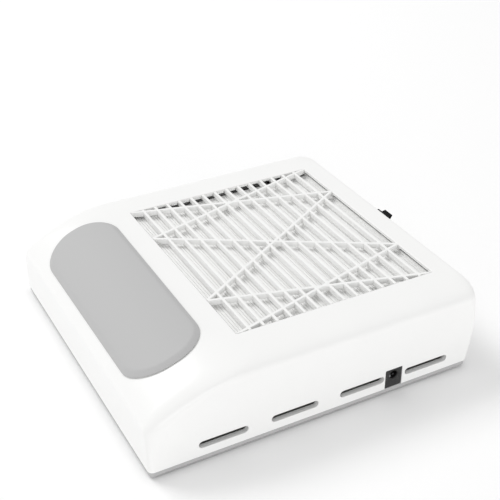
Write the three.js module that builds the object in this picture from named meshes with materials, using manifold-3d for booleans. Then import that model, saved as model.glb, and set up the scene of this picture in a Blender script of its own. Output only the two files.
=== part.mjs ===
// Desk-top nail dust collector: a low white housing with a wrist pad on its sloping front, a slatted
// intake over a pull-out pleated filter, and an axial fan that blows out through slots in both sides.
// Millimetres. +X is the user's right, +Y is away from the user, +Z is up, and the feet stand on z = 0.
import * as THREE from 'three';
import { mergeVertices } from 'three/addons/utils/BufferGeometryUtils.js';
import Module from 'manifold-3d';

const wasm = await Module();
wasm.setup();

// Driving dimensions of the housing
const bodyWidth = 250;
const bodyDepth = 254;
const bodyHeight = 68;
const shellBottom = 6;
const wall = 2.4;
const fitGap = 0.3;
const slideGap = 0.5;
const overrun = 1;

// Outline of the housing: a front slope, side shoulders, corners that soften towards the top, and a back
// that bows outwards above its foot
const frontHeight = 38;
const slopeRun = 64;
const slopePowerShare = 1.5;
const shoulderDrop = 10.5;
const shoulderWidth = 26.5;
const shoulderPowerShare = 2.65;
const sideDraft = 0.3;
const backLean = 4.7;
const backLeanHeight = 40;
const backEdgeRadius = 3.3;
const cornerRadius = 4;
const cornerStart = 22;
const frontCornerWidth = 27;
const frontCornerLength = 29;
const backCornerRadius = 12;
const leastRadius = 0.6;
const riseShares = [0, 0.08, 0.18, 0.3, 0.43, 0.56, 0.68, 0.79, 0.88, 0.94, 0.98, 1];
const innerRiseShares = [0, 0.2, 0.42, 0.64, 0.82, 0.94, 0.99, 1];

// Intake opening and its grille
const intakeSideMargin = 6.7;
const intakeFrontMargin = 16.4;
const intakeBackMargin = 13.4;
const slatCells = 15;
const slatWidth = 2.2;
const slatDepth = 4.4;
const ribShare = 0.243;
const grilleLap = 3;
const grilleRim = 2.5;
const rimCornerCut = 6;

// Vent slots in both side walls
const ventCount = 4;
const ventHeight = 5.5;
const ventRise = 9.3;
const ventBar = 17.5;
const ventFrontMargin = 35.45;
const ventBackMargin = 20.05;

// Wrist pad on the front slope
const padFromSide = 29;
const padFromFront = 6.5;
const padWidth = 56;
const padCorner = 26;
const padThickness = 3.2;
const padCrown = 0.9;

// Pull-out filter: a tray with a front, and the pleated paper in it
const trayWall = 1.8;
const trayFloor = 1.7;
const trayTopGap = 1.1;
const trayEndMargin = 3.5;
const trayBarWidth = 3;
const trayWindowColumns = 8;
const trayWindowRows = 4;
const dividerHeight = 8.5;
const paperOverlap = 1.5;
const paperEndOverlap = 3;
const paperTopDrop = 1;
const paperThickness = 0.6;
const pleatsPerCell = 3;
const fingerSlotLength = 70;
const fingerSlotMargin = 4;

// Duct plate that carries the filter and hangs the fan
const plateThickness = 2.4;
const plateEdgeGap = 0.8;
const railThickness = 1.5;
const railHeight = 4;

// Axial fan, a standard 120 mm square by 25 mm, over the plenum that feeds the vents
const plenumHeight = 9.7;
const fanSize = 120;
const fanHeight = 25;
const fanHolePitch = 105;
const fanHoleRadius = 2.25;
const fanBore = 57.5;
const fanDuctWall = 2.2;
const fanFlange = 4;
const fanEarRadius = 4.4;
const fanCornerRadius = 5;
const motorPlateRadius = 20;
const motorPlateThickness = 2.3;
const strutWidth = 3;
const strutHeight = 3.5;
const bearingTubeRadius = 5.3;
const bearingTubeDrop = 8.6;
const bearingRadius = 3.9;
const bearingHeight = 4;
const shaftRadius = 1.3;
const hubRadius = 19.5;
const hubWall = 1.5;
const hubDrop = 3;
const hubFloorGap = 1.5;
const hubBossRadius = 3.4;
const hubBossDepth = 3;
const bladeCount = 7;
const bladeTipGap = 1.2;
const bladeThickness = 1.8;
const bladeCamber = 2.4;
const bladeRootLap = 1;
const bladeRootChord = 19;
const bladeTipChord = 36;
const bladeRootPitch = THREE.MathUtils.degToRad(45);
const bladeTipPitch = THREE.MathUtils.degToRad(22);
const bladeStationShares = [0, 0.3, 0.65, 1];
const bladeChordShares = [-0.5, 0, 0.5];
const magnetThickness = 1;
const airGap = 0.6;
const statorRise = 3;
const statorHeight = 11;
const statorSlotWidth = 3;
const statorCoreRadius = 8.5;
const statorPoles = 4;

// Base plate, its screw cups, posts and feet
const baseUnderside = 1.5;
const baseInset = 0.8;
const baseFloor = 2.5;
const locatingRing = 1.6;
const ringHeight = 3.5;
const bossRadius = 4.5;
const bossHeight = 28;
const bossFromSide = 7.2;
const bossFromFront = 15;
const bossFromBack = 13;
const bossWeb = 3;
const postFromSide = 35;
const postFromEdge = 13.7;
const headDepth = 3.5;
const footRadius = 8;
const footThickness = 1.2;
const footStemRadius = 3;
const footFromSide = 21;

// Self-tapping screws
const screwRadius = 1.3;
const screwHole = 1.6;
const screwLength = 15;
const screwHeadRadius = 2.9;
const screwHeadHeight = 1;
const screwHeadRecess = 1.6;
const crossArm = 1.8;
const crossWidth = 0.6;
const crossDepth = 0.5;
const pilotSpare = 4;
const fanScrewRadius = 1.8;

// Rocker switch in the back wall, standing upright
const switchShift = 0;
const switchDrop = 12.8;
const bezelWidth = 15;
const bezelHeight = 21;
const bezelThickness = 2;
const bezelCorner = 1;
const switchBodyMargin = 1.1;
const switchBodyDepth = 9.4;
const switchBackWall = 1;
const rockerWindowWidth = 11.2;
const rockerWindowHeight = 17.2;
const rockerPivotInset = 1.5;
const rockerTilt = THREE.MathUtils.degToRad(12);
const rockerHalfHeight = 7.3;
const rockerReach = 10.5;
const rockerDish = 4.6;
const rockerDepth = 3;
const rockerFootHalf = 4.6;
const terminalWidth = 4;
const terminalThickness = 0.8;
const terminalLength = 7;
const terminalSpread = 3.4;

// Power socket in the right wall, with its board
const jackOffCentre = 0.7;
const jackWidth = 13.6;
const jackHeight = 15.3;
const jackDepth = 13.5;
const jackSetback = 0.3;
const jackBoreRise = 10;
const jackBoreRadius = 3.3;
const jackBoreDepth = 9.5;
const jackMouthRadius = 4;
const jackMouthDepth = 0.7;
const jackPinRadius = 1.05;
const jackPinSetback = 1;
const boardThickness = 1.6;
const boardWidth = 22;
const boardDepth = 27;

// Internal leads: each route is a list of steps away from a place that it passes
const leadRadius = 0.9;
const leadSides = 3;
const leadSteps = 18;
const fromSocketBack = [[-14.4, 3.3, 7.7], [-18.7, 6.8, 5.7]];
const fromSocketFront = [[-14.4, -3.7, 7.7], [-18.7, -7.7, 5.7], [-26.7, -17.2, 0.7]];
const fromRightCorner = [[-13.6, -40.6, 2.8], [-12.6, -24.6, 1.6], [-15.6, -9.6, 1.6], [-26.6, -4.3, 1.6]];
const fromBackWall = [[54.8, -4, 1.6], [30.8, -3.9, 1.8], [14.8, -3.7, 4], [4.8, -3.6, 11]];
const fromBackWallToFan = [[-5.2, -4.3, 9], [-7.2, -12.6, 3.4]];
const fromTerminal = [[0, -4, -14], [0, 0, -0.5]];
const fromFanToSwitch = [[-4, 64.5, -7.9], [-7, 44.5, -8.1], [-9, 28, -7.7],
  [-10, 16.5, -4.2], [-10, 10, -1.4]];
const fromFanToSocket = [[84, 0.5, -8.1], [60, -3.5, -8.1], [34, -2.5, -7.2],
  [18, -0.5, -3.2], [11, 0, -1.4]];

// Facets of round pieces
const cornerSteps = 5;
const innerCornerSteps = 3;
const arcSteps = 2;
const duct = 44;
const round = 24;
const small = 12;
const tiny = 8;

// Levels and places that follow from the driving dimensions
const halfWidth = bodyWidth / 2;
const halfDepth = bodyDepth / 2;
const innerHalf = halfWidth - wall;
const innerBack = halfDepth - wall;
const plateauHalf = halfWidth - sideDraft - shoulderWidth;
const shoulderStart = bodyHeight - shoulderDrop;
const plateauFront = slopeRun - halfDepth;
const intakeBack = halfDepth - intakeBackMargin;
const intakeFront = plateauFront + intakeFrontMargin;
const intakeDepth = intakeBack - intakeFront;
const intakeHalf = plateauHalf - intakeSideMargin;
const intakeWidth = intakeHalf * 2;
const fanY = (intakeBack + intakeFront) / 2;
const slatPitch = intakeDepth / slatCells;
const grilleBottom = bodyHeight - slatDepth;
const trayTop = grilleBottom - trayTopGap;
const floorTop = baseUnderside + baseFloor;
const ringTop = floorTop + ringHeight;
const fanBottom = floorTop + plenumHeight;
const postTop = fanBottom + fanHeight;
const plateBottom = postTop + fitGap;
const plateTop = plateBottom + plateThickness;
const trayBottom = plateTop + fitGap;
const trayFront = intakeFront - paperOverlap - fitGap - trayWall;
const trayBack = intakeBack + paperOverlap + fitGap + trayWall;
const trayEnd = intakeHalf + trayEndMargin;
const plateFront = trayFront - slideGap - railThickness;
const plateBack = trayBack + slideGap + railThickness;
const ventBars = ventBar * (ventCount - 1);
const ventLength = (bodyDepth - ventFrontMargin - ventBackMargin - ventBars) / ventCount;
const ventStart = ventFrontMargin + ventLength / 2 - halfDepth;
const ventPitch = ventLength + ventBar;
const jackY = ventStart + ventPitch * (ventCount - 1) - ventPitch / 2 - jackOffCentre;
const switchZ = bodyHeight - switchDrop;
const switchBack = halfDepth + backLean;

const collector = new THREE.Group();

// Adds one named piece to a group in its own finish
function piece(parent, name, solid, finish) {
  const { vertProperties, triVerts } = solid.asOriginal().simplify().getMesh();
  const geometry = new THREE.BufferGeometry();
  geometry.setAttribute('position', new THREE.BufferAttribute(new Float32Array(vertProperties), 3));
  geometry.setIndex(new THREE.BufferAttribute(new Uint32Array(triVerts), 1));
  geometry.computeVertexNormals();
  const mesh = new THREE.Mesh(geometry, new THREE.MeshStandardMaterial(finish));
  mesh.name = name;
  parent.add(mesh);
  return mesh;
}

// A closed geometry as a solid that can be joined and cut
function solidOf(geometry) {
  geometry.deleteAttribute('normal');
  geometry.deleteAttribute('uv');
  const merged = mergeVertices(geometry);
  return new wasm.Manifold(new wasm.Mesh({
    numProp: 3,
    vertProperties: new Float32Array(merged.attributes.position.array),
    triVerts: new Uint32Array(merged.index.array),
  }));
}

const joined = (solids) => solids.reduce((all, solid) => all.add(solid));
const cut = (solid, tools) => tools.reduce((rest, tool) => rest.subtract(tool), solid);

function block(x0, x1, y0, y1, z0, z1) {
  const geometry = new THREE.BoxGeometry(x1 - x0, y1 - y0, z1 - z0);
  return solidOf(geometry.translate((x0 + x1) / 2, (y0 + y1) / 2, (z0 + z1) / 2));
}

// Upright round bar between two heights
function column(radius, z0, z1, sides, x = 0, y = 0) {
  const geometry = new THREE.CylinderGeometry(radius, radius, z1 - z0, sides).rotateX(Math.PI / 2);
  return solidOf(geometry.translate(x, y, (z0 + z1) / 2));
}

// Upright ring or bush on the local axis
function ring(outer, inner, z0, z1, sides) {
  return column(outer, z0, z1, sides).subtract(column(inner, z0 - overrun, z1 + overrun, sides));
}

// Upright turned piece from a profile of radius and height, from the axis round to the axis
function turned(profile, sides) {
  const points = profile.map(([radius, height]) => new THREE.Vector2(radius, height));
  return solidOf(new THREE.LatheGeometry(points, sides).rotateX(Math.PI / 2));
}

function outline(points) {
  return new THREE.Shape(points.map(([a, b]) => new THREE.Vector2(a, b)));
}

function extruded(shape, depth) {
  return new THREE.ExtrudeGeometry(shape, { depth, bevelEnabled: false, curveSegments: arcSteps });
}

// Outline in X and Y, raised between two heights
function upright(shape, z0, z1) {
  return solidOf(extruded(shape, z1 - z0).translate(0, 0, z0));
}

const alongX = new THREE.Matrix4().makeBasis(
  new THREE.Vector3(0, 1, 0), new THREE.Vector3(0, 0, 1), new THREE.Vector3(1, 0, 0));
const alongY = new THREE.Matrix4().makeBasis(
  new THREE.Vector3(-1, 0, 0), new THREE.Vector3(0, 0, 1), new THREE.Vector3(0, 1, 0));

// Outline in Y and Z, drawn out along X
function sideways(shape, x0, x1) {
  return solidOf(extruded(shape, x1 - x0).applyMatrix4(alongX).translate(x0, 0, 0));
}

// Outline in X and Z about the middle of X, drawn out along Y
function backwards(shape, y0, y1) {
  return solidOf(extruded(shape, y1 - y0).applyMatrix4(alongY).translate(0, y0, 0));
}

// Rectangle with round corners about a centre
function roundedRectangle(centreA, centreB, width, height, radius) {
  const shape = new THREE.Shape();
  const a0 = centreA - width / 2 + radius;
  const a1 = centreA + width / 2 - radius;
  const b0 = centreB - height / 2 + radius;
  const b1 = centreB + height / 2 - radius;
  shape.absarc(a1, b0, radius, -Math.PI / 2, 0);
  shape.absarc(a1, b1, radius, 0, Math.PI / 2);
  shape.absarc(a0, b1, radius, Math.PI / 2, Math.PI);
  shape.absarc(a0, b0, radius, Math.PI, Math.PI * 3 / 2);
  return shape;
}

// Closed skin over rings of points that all have the same count, each counter-clockwise seen from the last
function loft(rings) {
  const count = rings[0].length;
  const last = rings.length - 1;
  const positions = rings.flat().flatMap((p) => [p.x, p.y, p.z]);
  const triangles = [];
  for (let r = 0; r < last; r++) {
    for (let i = 0; i < count; i++) {
      const low = r * count;
      const high = low + count;
      const j = (i + 1) % count;
      triangles.push(low + i, low + j, high + j, low + i, high + j, high + i);
    }
  }
  for (const end of [0, last]) {
    const centre = rings[end].reduce((sum, p) => sum.add(p), new THREE.Vector3()).divideScalar(count);
    const hub = positions.length / 3;
    positions.push(centre.x, centre.y, centre.z);
    for (let i = 0; i < count; i++) {
      const here = end * count + i;
      const next = end * count + (i + 1) % count;
      triangles.push(hub, end ? here : next, end ? next : here);
    }
  }
  const geometry = new THREE.BufferGeometry();
  geometry.setAttribute('position', new THREE.Float32BufferAttribute(positions, 3));
  geometry.setIndex(triangles);
  return solidOf(geometry);
}

// Quarter of an ellipse, counter-clockwise from a number of quarter turns
function cornerArc(centreX, centreY, radiusX, radiusY, quarter, steps) {
  return Array.from({ length: steps + 1 }, (_, i) => {
    const angle = (quarter + i / steps) * Math.PI / 2;
    return new THREE.Vector2(centreX + radiusX * Math.cos(angle), centreY + radiusY * Math.sin(angle));
  });
}

// The housing's surface: half its width, its front and its back at each height
function clampShare(value) {
  return Math.min(Math.max(value, 0), 1);
}

function fall(share, powerShare) {
  return (1 - share ** powerShare) ** (1 / powerShare);
}

function sideAt(z) {
  const draft = sideDraft * clampShare((z - shellBottom) / (shoulderStart - shellBottom));
  const rise = clampShare((z - shoulderStart) / shoulderDrop);
  return halfWidth - draft - shoulderWidth * (1 - fall(rise, shoulderPowerShare));
}

function frontAt(z) {
  const rise = clampShare((z - frontHeight) / (bodyHeight - frontHeight));
  return plateauFront - slopeRun * fall(rise, slopePowerShare);
}

function backAt(z) {
  const lean = backLean * (1 - (1 - clampShare((z - shellBottom) / backLeanHeight)) ** 2);
  const rise = clampShare((z - bodyHeight + backEdgeRadius) / backEdgeRadius);
  return halfDepth + lean - backEdgeRadius * (1 - fall(rise, 2));
}

// Height of the sloping front at a place along Y
function slopeAt(y) {
  const run = clampShare((plateauFront - y) / slopeRun);
  return frontHeight + (bodyHeight - frontHeight) * fall(run, slopePowerShare);
}

// Plan outline of the housing at a height, moved inwards
function bodySection(z, inset, steps) {
  const soft = clampShare((z - cornerStart) / (bodyHeight - cornerStart));
  const grown = (target, share) =>
    Math.max(cornerRadius + (target - cornerRadius) * share - inset, leastRadius);
  const frontX = grown(frontCornerWidth, soft ** 2);
  const frontY = grown(frontCornerLength, soft);
  const backR = grown(backCornerRadius, soft ** 3);
  const side = sideAt(z) - inset;
  const front = frontAt(z) + inset;
  const back = backAt(z) - inset;
  return [
    ...cornerArc(side - frontX, front + frontY, frontX, frontY, -1, steps),
    ...cornerArc(side - backR, back - backR, backR, backR, 0, steps),
    ...cornerArc(backR - side, back - backR, backR, backR, 1, steps),
    ...cornerArc(frontX - side, front + frontY, frontX, frontY, 2, steps),
  ];
}

// The housing's form as a solid, moved inwards and down by the same inset
function bodySolid(inset, shares, steps) {
  const rises = shares.map((share) => frontHeight + (bodyHeight - frontHeight) * share);
  const levels = [shellBottom, cornerStart, (cornerStart + frontHeight) / 2, ...rises];
  return loft(levels.map((z) =>
    bodySection(z, inset, steps).map((p) => new THREE.Vector3(p.x, p.y, z - inset))));
}

// Straight-sided slab of the housing's outline at its foot
function footprint(inset, z0, z1) {
  const section = bodySection(shellBottom, inset, innerCornerSteps);
  return loft([z0, z1].map((z) => section.map((p) => new THREE.Vector3(p.x, p.y, z))));
}

const outerForm = bodySolid(0, riseShares, cornerSteps);
const innerForm = bodySolid(wall, innerRiseShares, innerCornerSteps);
const innerRoom = bodySolid(wall + fitGap, innerRiseShares, innerCornerSteps);

const sides = [-1, 1];
const bossPlaces = sides.flatMap((side) => [bossFromFront - halfDepth, halfDepth - bossFromBack].map((y) =>
  ({ x: side * (halfWidth - bossFromSide), y, side })));
const postPlaces = sides.flatMap((side) => [plateFront + postFromEdge, plateBack - postFromEdge].map((y) =>
  ({ x: side * (halfWidth - postFromSide), y })));
const fanHolePlaces = sides.flatMap((a) => sides.map((b) =>
  ({ x: a * fanHolePitch / 2, y: b * fanHolePitch / 2 })));
const footPlaces = sides.flatMap((a) => sides.map((b) =>
  ({ x: a * (halfWidth - footFromSide), y: b * (halfDepth - footFromSide) })));

const whiteAbs = { color: 0xf4f4f2, roughness: 0.32, metalness: 0 };
const greyAbs = { color: 0xb0b1b1, roughness: 0.5, metalness: 0 };
const blackAbs = { color: 0x1b1b1c, roughness: 0.45, metalness: 0 };
const padRubber = { color: 0xc6c6c6, roughness: 0.7, metalness: 0 };
const filterPaper = { color: 0xe6e6e4, roughness: 0.95, metalness: 0 };
const blackRubber = { color: 0x2b2b2b, roughness: 0.85, metalness: 0 };
const steel = { color: 0xb9bcc0, roughness: 0.3, metalness: 1 };
const copper = { color: 0xb56a3c, roughness: 0.4, metalness: 1 };
const brass = { color: 0xc9a24b, roughness: 0.3, metalness: 1 };
const boardGreen = { color: 0x2f6b45, roughness: 0.6, metalness: 0 };
const redSleeve = { color: 0xa82020, roughness: 0.5, metalness: 0 };
const blackSleeve = { color: 0x202020, roughness: 0.5, metalness: 0 };

// Top cover: moulded shell, open below, cut for the intake, vents, filter, switch and power socket
const switchHalfWidth = bezelWidth / 2 - switchBodyMargin;
const switchHalfHeight = bezelHeight / 2 - switchBodyMargin;

function ventSlots() {
  return Array.from({ length: ventCount }, (_, i) => {
    const slot = roundedRectangle(ventStart + i * ventPitch, shellBottom + ventRise, ventLength, ventHeight,
      ventHeight / 2);
    return [
      sideways(slot, innerHalf - sideDraft - overrun, halfWidth + overrun),
      sideways(slot, -halfWidth - overrun, overrun + sideDraft - innerHalf),
    ];
  }).flat();
}

function coverBosses() {
  const bottom = ringTop + fitGap;
  const top = shellBottom + bossHeight;
  return bossPlaces.flatMap(({ x, y, side }) => {
    const edge = side * (halfWidth - wall / 2);
    return [
      column(bossRadius, bottom, top, small, x, y),
      block(Math.min(x, edge), Math.max(x, edge), y - bossWeb / 2, y + bossWeb / 2, bottom, top),
    ];
  });
}

function topCover() {
  const pilotTop = ringTop + screwLength + pilotSpare;
  const pilots = bossPlaces.map(({ x, y }) => column(screwHole, floorTop, pilotTop, tiny, x, y));
  const intake = block(-intakeHalf, intakeHalf, intakeFront, intakeBack, grilleBottom, bodyHeight + overrun);
  const filterSlot = block(-halfWidth - overrun, -plateauHalf, trayFront - slideGap, trayBack + slideGap,
    trayBottom - slideGap, trayTop + slideGap);
  const jackHalf = jackWidth / 2 + fitGap;
  const jackTop = shellBottom + fitGap + jackHeight + fitGap;
  const jackNotch = block(innerHalf - sideDraft - overrun, halfWidth + overrun, jackY - jackHalf,
    jackY + jackHalf, shellBottom - overrun, jackTop);
  const windowHalf = switchHalfWidth + fitGap;
  const window = block(switchShift - windowHalf, switchShift + windowHalf, switchBack - wall - backEdgeRadius,
    switchBack + overrun, switchZ - switchHalfHeight - fitGap, switchZ + switchHalfHeight + fitGap);
  const shell = joined([outerForm.subtract(innerForm), ...coverBosses()]);
  return cut(shell, [intake, filterSlot, jackNotch, window, ...ventSlots(), ...pilots]);
}

piece(collector, 'top_cover', topCover(), whiteAbs);

// Intake grille: slats and six slanting ribs, run on under the cover's skin to a rim that is welded there
const ribEndShares = [
  [0, ribShare], [ribShare, 0], [ribShare, 1 - ribShare],
  [1 - ribShare, ribShare], [1 - ribShare, 1], [1, 1 - ribShare],
];

function slatsAndRibs(reach, z1) {
  const slats = Array.from({ length: slatCells - 1 }, (_, i) => {
    const y = intakeFront + (i + 1) * slatPitch;
    return block(-intakeHalf - reach, intakeHalf + reach, y - slatWidth / 2, y + slatWidth / 2,
      grilleBottom, z1);
  });
  const y0 = intakeFront - reach;
  const y1 = intakeBack + reach;
  const ribs = ribEndShares.map(([frontShare, backShare]) => {
    const lean = (backShare - frontShare) * intakeWidth / intakeDepth;
    const half = slatWidth / 2 * Math.hypot(1, lean);
    const x0 = intakeWidth * frontShare - intakeHalf - lean * reach;
    const x1 = intakeWidth * backShare - intakeHalf + lean * reach;
    return upright(outline([[x0 - half, y0], [x0 + half, y0], [x1 + half, y1], [x1 - half, y1]]),
      grilleBottom, z1);
  });
  return joined([...slats, ...ribs]).intersect(openingBlock(reach, z1));
}

function openingBlock(grow, z1, z0 = grilleBottom) {
  return block(-intakeHalf - grow, intakeHalf + grow, intakeFront - grow, intakeBack + grow, z0, z1);
}

// Rim outline round the opening, its corners cut off under the housing's rounded ones
function rimOutline(grow, cornerCut) {
  const x = intakeHalf + grow;
  const front = intakeFront - grow;
  const back = intakeBack + grow;
  return outline([
    [cornerCut - x, front], [x - cornerCut, front], [x, front + cornerCut], [x, back - cornerCut],
    [x - cornerCut, back], [cornerCut - x, back], [-x, back - cornerCut], [-x, front + cornerCut],
  ]);
}

function intakeGrille() {
  const rimTop = bodyHeight - wall - slideGap;
  const rimReach = grilleLap + grilleRim;
  const innerCut = rimCornerCut - grilleRim * (2 - Math.SQRT2);
  const whole = upright(rimOutline(rimReach, rimCornerCut), grilleBottom, rimTop);
  const hole = upright(rimOutline(grilleLap, innerCut), grilleBottom - overrun, rimTop + overrun);
  const under = slatsAndRibs(grilleLap + grilleRim / 2, rimTop).intersect(whole);
  return joined([slatsAndRibs(-fitGap, bodyHeight), under, whole.subtract(hole)]);
}

piece(collector, 'intake_grille', intakeGrille(), whiteAbs);

// Base plate: tray with a locating ring inside the cover, screw cups, and posts for the duct plate
const headSeat = baseUnderside + headDepth;
const headHole = screwHeadRadius + fitGap;

function basePlate() {
  const inRing = wall + fitGap;
  const tray = footprint(baseInset, baseUnderside, shellBottom - fitGap);
  const lip = footprint(inRing, floorTop, ringTop);
  const hollow = footprint(inRing + locatingRing, floorTop, ringTop + overrun);
  const cups = bossPlaces.map(({ x, y }) => column(bossRadius, baseUnderside, ringTop, small, x, y));
  const posts = postPlaces.map(({ x, y }) => column(bossRadius, baseUnderside, postTop, small, x, y));
  const heads = bossPlaces.map(({ x, y }) => column(headHole, 0, headSeat, small, x, y));
  const shanks = bossPlaces.map(({ x, y }) => column(screwHole, 0, ringTop + overrun, tiny, x, y));
  const pilots = postPlaces.map(({ x, y }) =>
    column(screwHole, postTop - screwLength - pilotSpare, postTop + overrun, tiny, x, y));
  const stems = footPlaces.map(({ x, y }) =>
    column(footStemRadius + fitGap, 0, floorTop + overrun, small, x, y));
  const jackHalf = jackWidth / 2 + fitGap;
  const jackRoom = block(innerHalf - jackDepth, halfWidth + overrun, jackY - jackHalf, jackY + jackHalf,
    shellBottom - fitGap, ringTop + overrun);
  const shell = joined([tray, lip]).subtract(hollow);
  return cut(joined([shell, ...cups, ...posts]), [...heads, ...shanks, ...pilots, ...stems, jackRoom]);
}

piece(collector, 'base_plate', basePlate(), greyAbs);

// Push-in rubber foot, drawn on its own axis with its sole at the origin
function foot() {
  const neckTop = floorTop + fitGap;
  const headRadius = footStemRadius + fitGap * 2;
  return turned([
    [0, 0], [footRadius, 0], [footRadius, footThickness], [footStemRadius, footThickness],
    [footStemRadius, neckTop], [headRadius, neckTop], [footStemRadius, neckTop + footThickness],
    [0, neckTop + footThickness],
  ], small);
}

footPlaces.forEach(({ x, y }, i) =>
  piece(collector, `foot_${i + 1}`, foot(), blackRubber).position.set(x, y, 0));

// Screw drawn on its own axis, pointing down, with the underside of its cross-recessed head at the origin
function screw(length, shank) {
  const head = column(screwHeadRadius, 0, screwHeadHeight, small);
  const body = column(shank, -length, screwHeadHeight / 4, tiny);
  const bottom = screwHeadHeight - crossDepth;
  const top = screwHeadHeight + overrun;
  const half = crossWidth / 2;
  return cut(head.add(body), [
    block(-crossArm, crossArm, -half, half, bottom, top),
    block(-half, half, -crossArm, crossArm, bottom, top),
  ]);
}

bossPlaces.forEach(({ x, y }, i) => {
  const mesh = piece(collector, `base_screw_${i + 1}`, screw(screwLength + ringHeight, screwRadius), steel);
  mesh.position.set(x, y, headSeat - fitGap);
  mesh.rotation.x = Math.PI;
});

// Duct plate: closes the space under the filter, with a round mouth for the fan and rails for the tray
const headRecess = plateTop - screwHeadRecess;

function ductPlate() {
  const left = plateEdgeGap - innerHalf;
  const right = trayEnd + slideGap + railThickness;
  const railTop = plateTop + railHeight;
  const plate = block(left, right, plateFront, plateBack, plateBottom, plateTop);
  const rails = [
    block(left, right, plateFront, plateFront + railThickness, plateBottom, railTop),
    block(left, right, plateBack - railThickness, plateBack, plateBottom, railTop),
    block(right - railThickness, right, plateFront, plateBack, plateBottom, railTop),
  ];
  const mouth = column(fanBore, plateBottom - overrun, plateTop + overrun, duct, 0, fanY);
  const seats = [...postPlaces, ...fanHolePlaces.map(({ x, y }) => ({ x, y: y + fanY }))];
  const heads = seats.map(({ x, y }) => column(headHole, headRecess, plateTop + overrun, small, x, y));
  const holes = seats.map(({ x, y }) => column(fanHoleRadius, plateBottom - overrun, plateTop, tiny, x, y));
  return cut(joined([plate, ...rails]).intersect(innerRoom), [mouth, ...heads, ...holes]);
}

piece(collector, 'duct_plate', ductPlate(), whiteAbs);
postPlaces.forEach(({ x, y }, i) =>
  piece(collector, `duct_screw_${i + 1}`, screw(screwLength, screwRadius), steel)
    .position.set(x, y, headRecess + fitGap));
fanHolePlaces.forEach(({ x, y }, i) =>
  piece(collector, `fan_screw_${i + 1}`, screw(screwLength, fanScrewRadius), steel)
    .position.set(x, y + fanY, headRecess + fitGap));

// Fan, drawn about its own axis with the motor plate's outside at the origin
const fan = new THREE.Group();
fan.position.set(0, fanY, fanBottom);
collector.add(fan);
const tubeTop = fanHeight - bearingTubeDrop;
const tubeFloor = motorPlateThickness / 2;
const hubTop = fanHeight - hubDrop;
const hubRoof = hubTop - hubWall;
const hubBottom = motorPlateThickness + hubFloorGap;

// Fan frame: round duct with square flanges, and a motor plate with the bearing tube on four struts
function fanFrame() {
  const square = roundedRectangle(0, 0, fanSize, fanSize, fanCornerRadius);
  const flanges = [upright(square, 0, fanFlange), upright(square, fanHeight - fanFlange, fanHeight)];
  const tunnel = column(fanBore + fanDuctWall, 0, fanHeight, duct);
  const ears = fanHolePlaces.map(({ x, y }) => column(fanEarRadius, 0, fanHeight, small, x, y));
  const bore = column(fanBore, -overrun, fanHeight + overrun, duct);
  const holes = fanHolePlaces.map(({ x, y }) =>
    column(fanHoleRadius, -overrun, fanHeight + overrun, tiny, x, y));
  const surround = cut(joined([...flanges, tunnel, ...ears]), [bore, ...holes]);
  const half = strutWidth / 2;
  const reach = fanBore + fanDuctWall / 2;
  const mount = joined([
    block(-reach, reach, -half, half, 0, strutHeight),
    block(-half, half, -reach, reach, 0, strutHeight),
    column(motorPlateRadius, 0, motorPlateThickness, round),
    column(bearingTubeRadius, 0, tubeTop, round),
  ]);
  const tubeBore = column(bearingRadius + fitGap, tubeFloor, tubeTop + overrun, round);
  return surround.add(mount).subtract(tubeBore);
}

piece(fan, 'fan_frame', fanFrame(), blackAbs);

// Impeller: rotor cup with cambered, twisted blades, pressed on its shaft
const bladeMiddle = (strutHeight + hubTop) / 2;

function bladeSection(share, turn) {
  const mix = THREE.MathUtils.lerp;
  const radius = mix(hubRadius - bladeRootLap, fanBore - bladeTipGap, share);
  const chord = mix(bladeRootChord, bladeTipChord, share);
  const pitch = mix(bladeRootPitch, bladeTipPitch, share);
  const face = (side) => bladeChordShares.map((s) =>
    new THREE.Vector2(s * chord, bladeCamber * (1 - 4 * s * s) + side * bladeThickness / 2));
  return [...face(-1), ...face(1).reverse()].map((p) => {
    const around = (p.x * Math.cos(pitch) - p.y * Math.sin(pitch)) / radius + turn;
    const height = p.x * Math.sin(pitch) + p.y * Math.cos(pitch);
    return new THREE.Vector3(radius * Math.cos(around), radius * Math.sin(around), bladeMiddle + height);
  });
}

function fanImpeller() {
  const bossBottom = hubRoof - hubBossDepth;
  const blades = Array.from({ length: bladeCount }, (_, i) =>
    loft(bladeStationShares.map((share) => bladeSection(share, i / bladeCount * Math.PI * 2))));
  const cup = joined([column(hubRadius, hubBottom, hubTop, round), ...blades])
    .subtract(column(hubRadius - hubWall, 0, hubRoof, round));
  const boss = column(hubBossRadius, bossBottom, hubTop - hubWall / 2, small);
  const seat = column(shaftRadius + fitGap, bossBottom - overrun, hubRoof, small);
  return cup.add(boss).subtract(seat);
}

const cupInside = (hubRadius - hubWall) * Math.cos(Math.PI / round);
const magnetOuter = cupInside - fitGap;
const magnetInner = magnetOuter - magnetThickness;
piece(fan, 'fan_impeller', fanImpeller(), blackAbs);
piece(fan, 'fan_shaft', column(shaftRadius, tubeFloor + fitGap, hubRoof - fitGap, small), steel);
piece(fan, 'rotor_magnet',
  ring(magnetOuter, magnetInner, hubBottom + fitGap, hubRoof - fitGap, round), blackRubber);

// Stator: wound core on the bearing tube, slotted between its poles
function fanStator() {
  const bottom = motorPlateThickness + statorRise;
  const top = bottom + statorHeight;
  const outer = magnetInner * Math.cos(Math.PI / round) - airGap;
  const core = ring(outer, bearingTubeRadius + fitGap, bottom, top, round);
  const slots = Array.from({ length: statorPoles }, (_, i) => {
    const half = statorSlotWidth / 2;
    const slot = new THREE.BoxGeometry(outer, half * 2, top - bottom + overrun * 2);
    slot.translate(statorCoreRadius + outer / 2, 0, (bottom + top) / 2);
    return solidOf(slot.rotateZ((i + 0.5) / statorPoles * Math.PI * 2));
  });
  return cut(core, slots);
}

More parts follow.
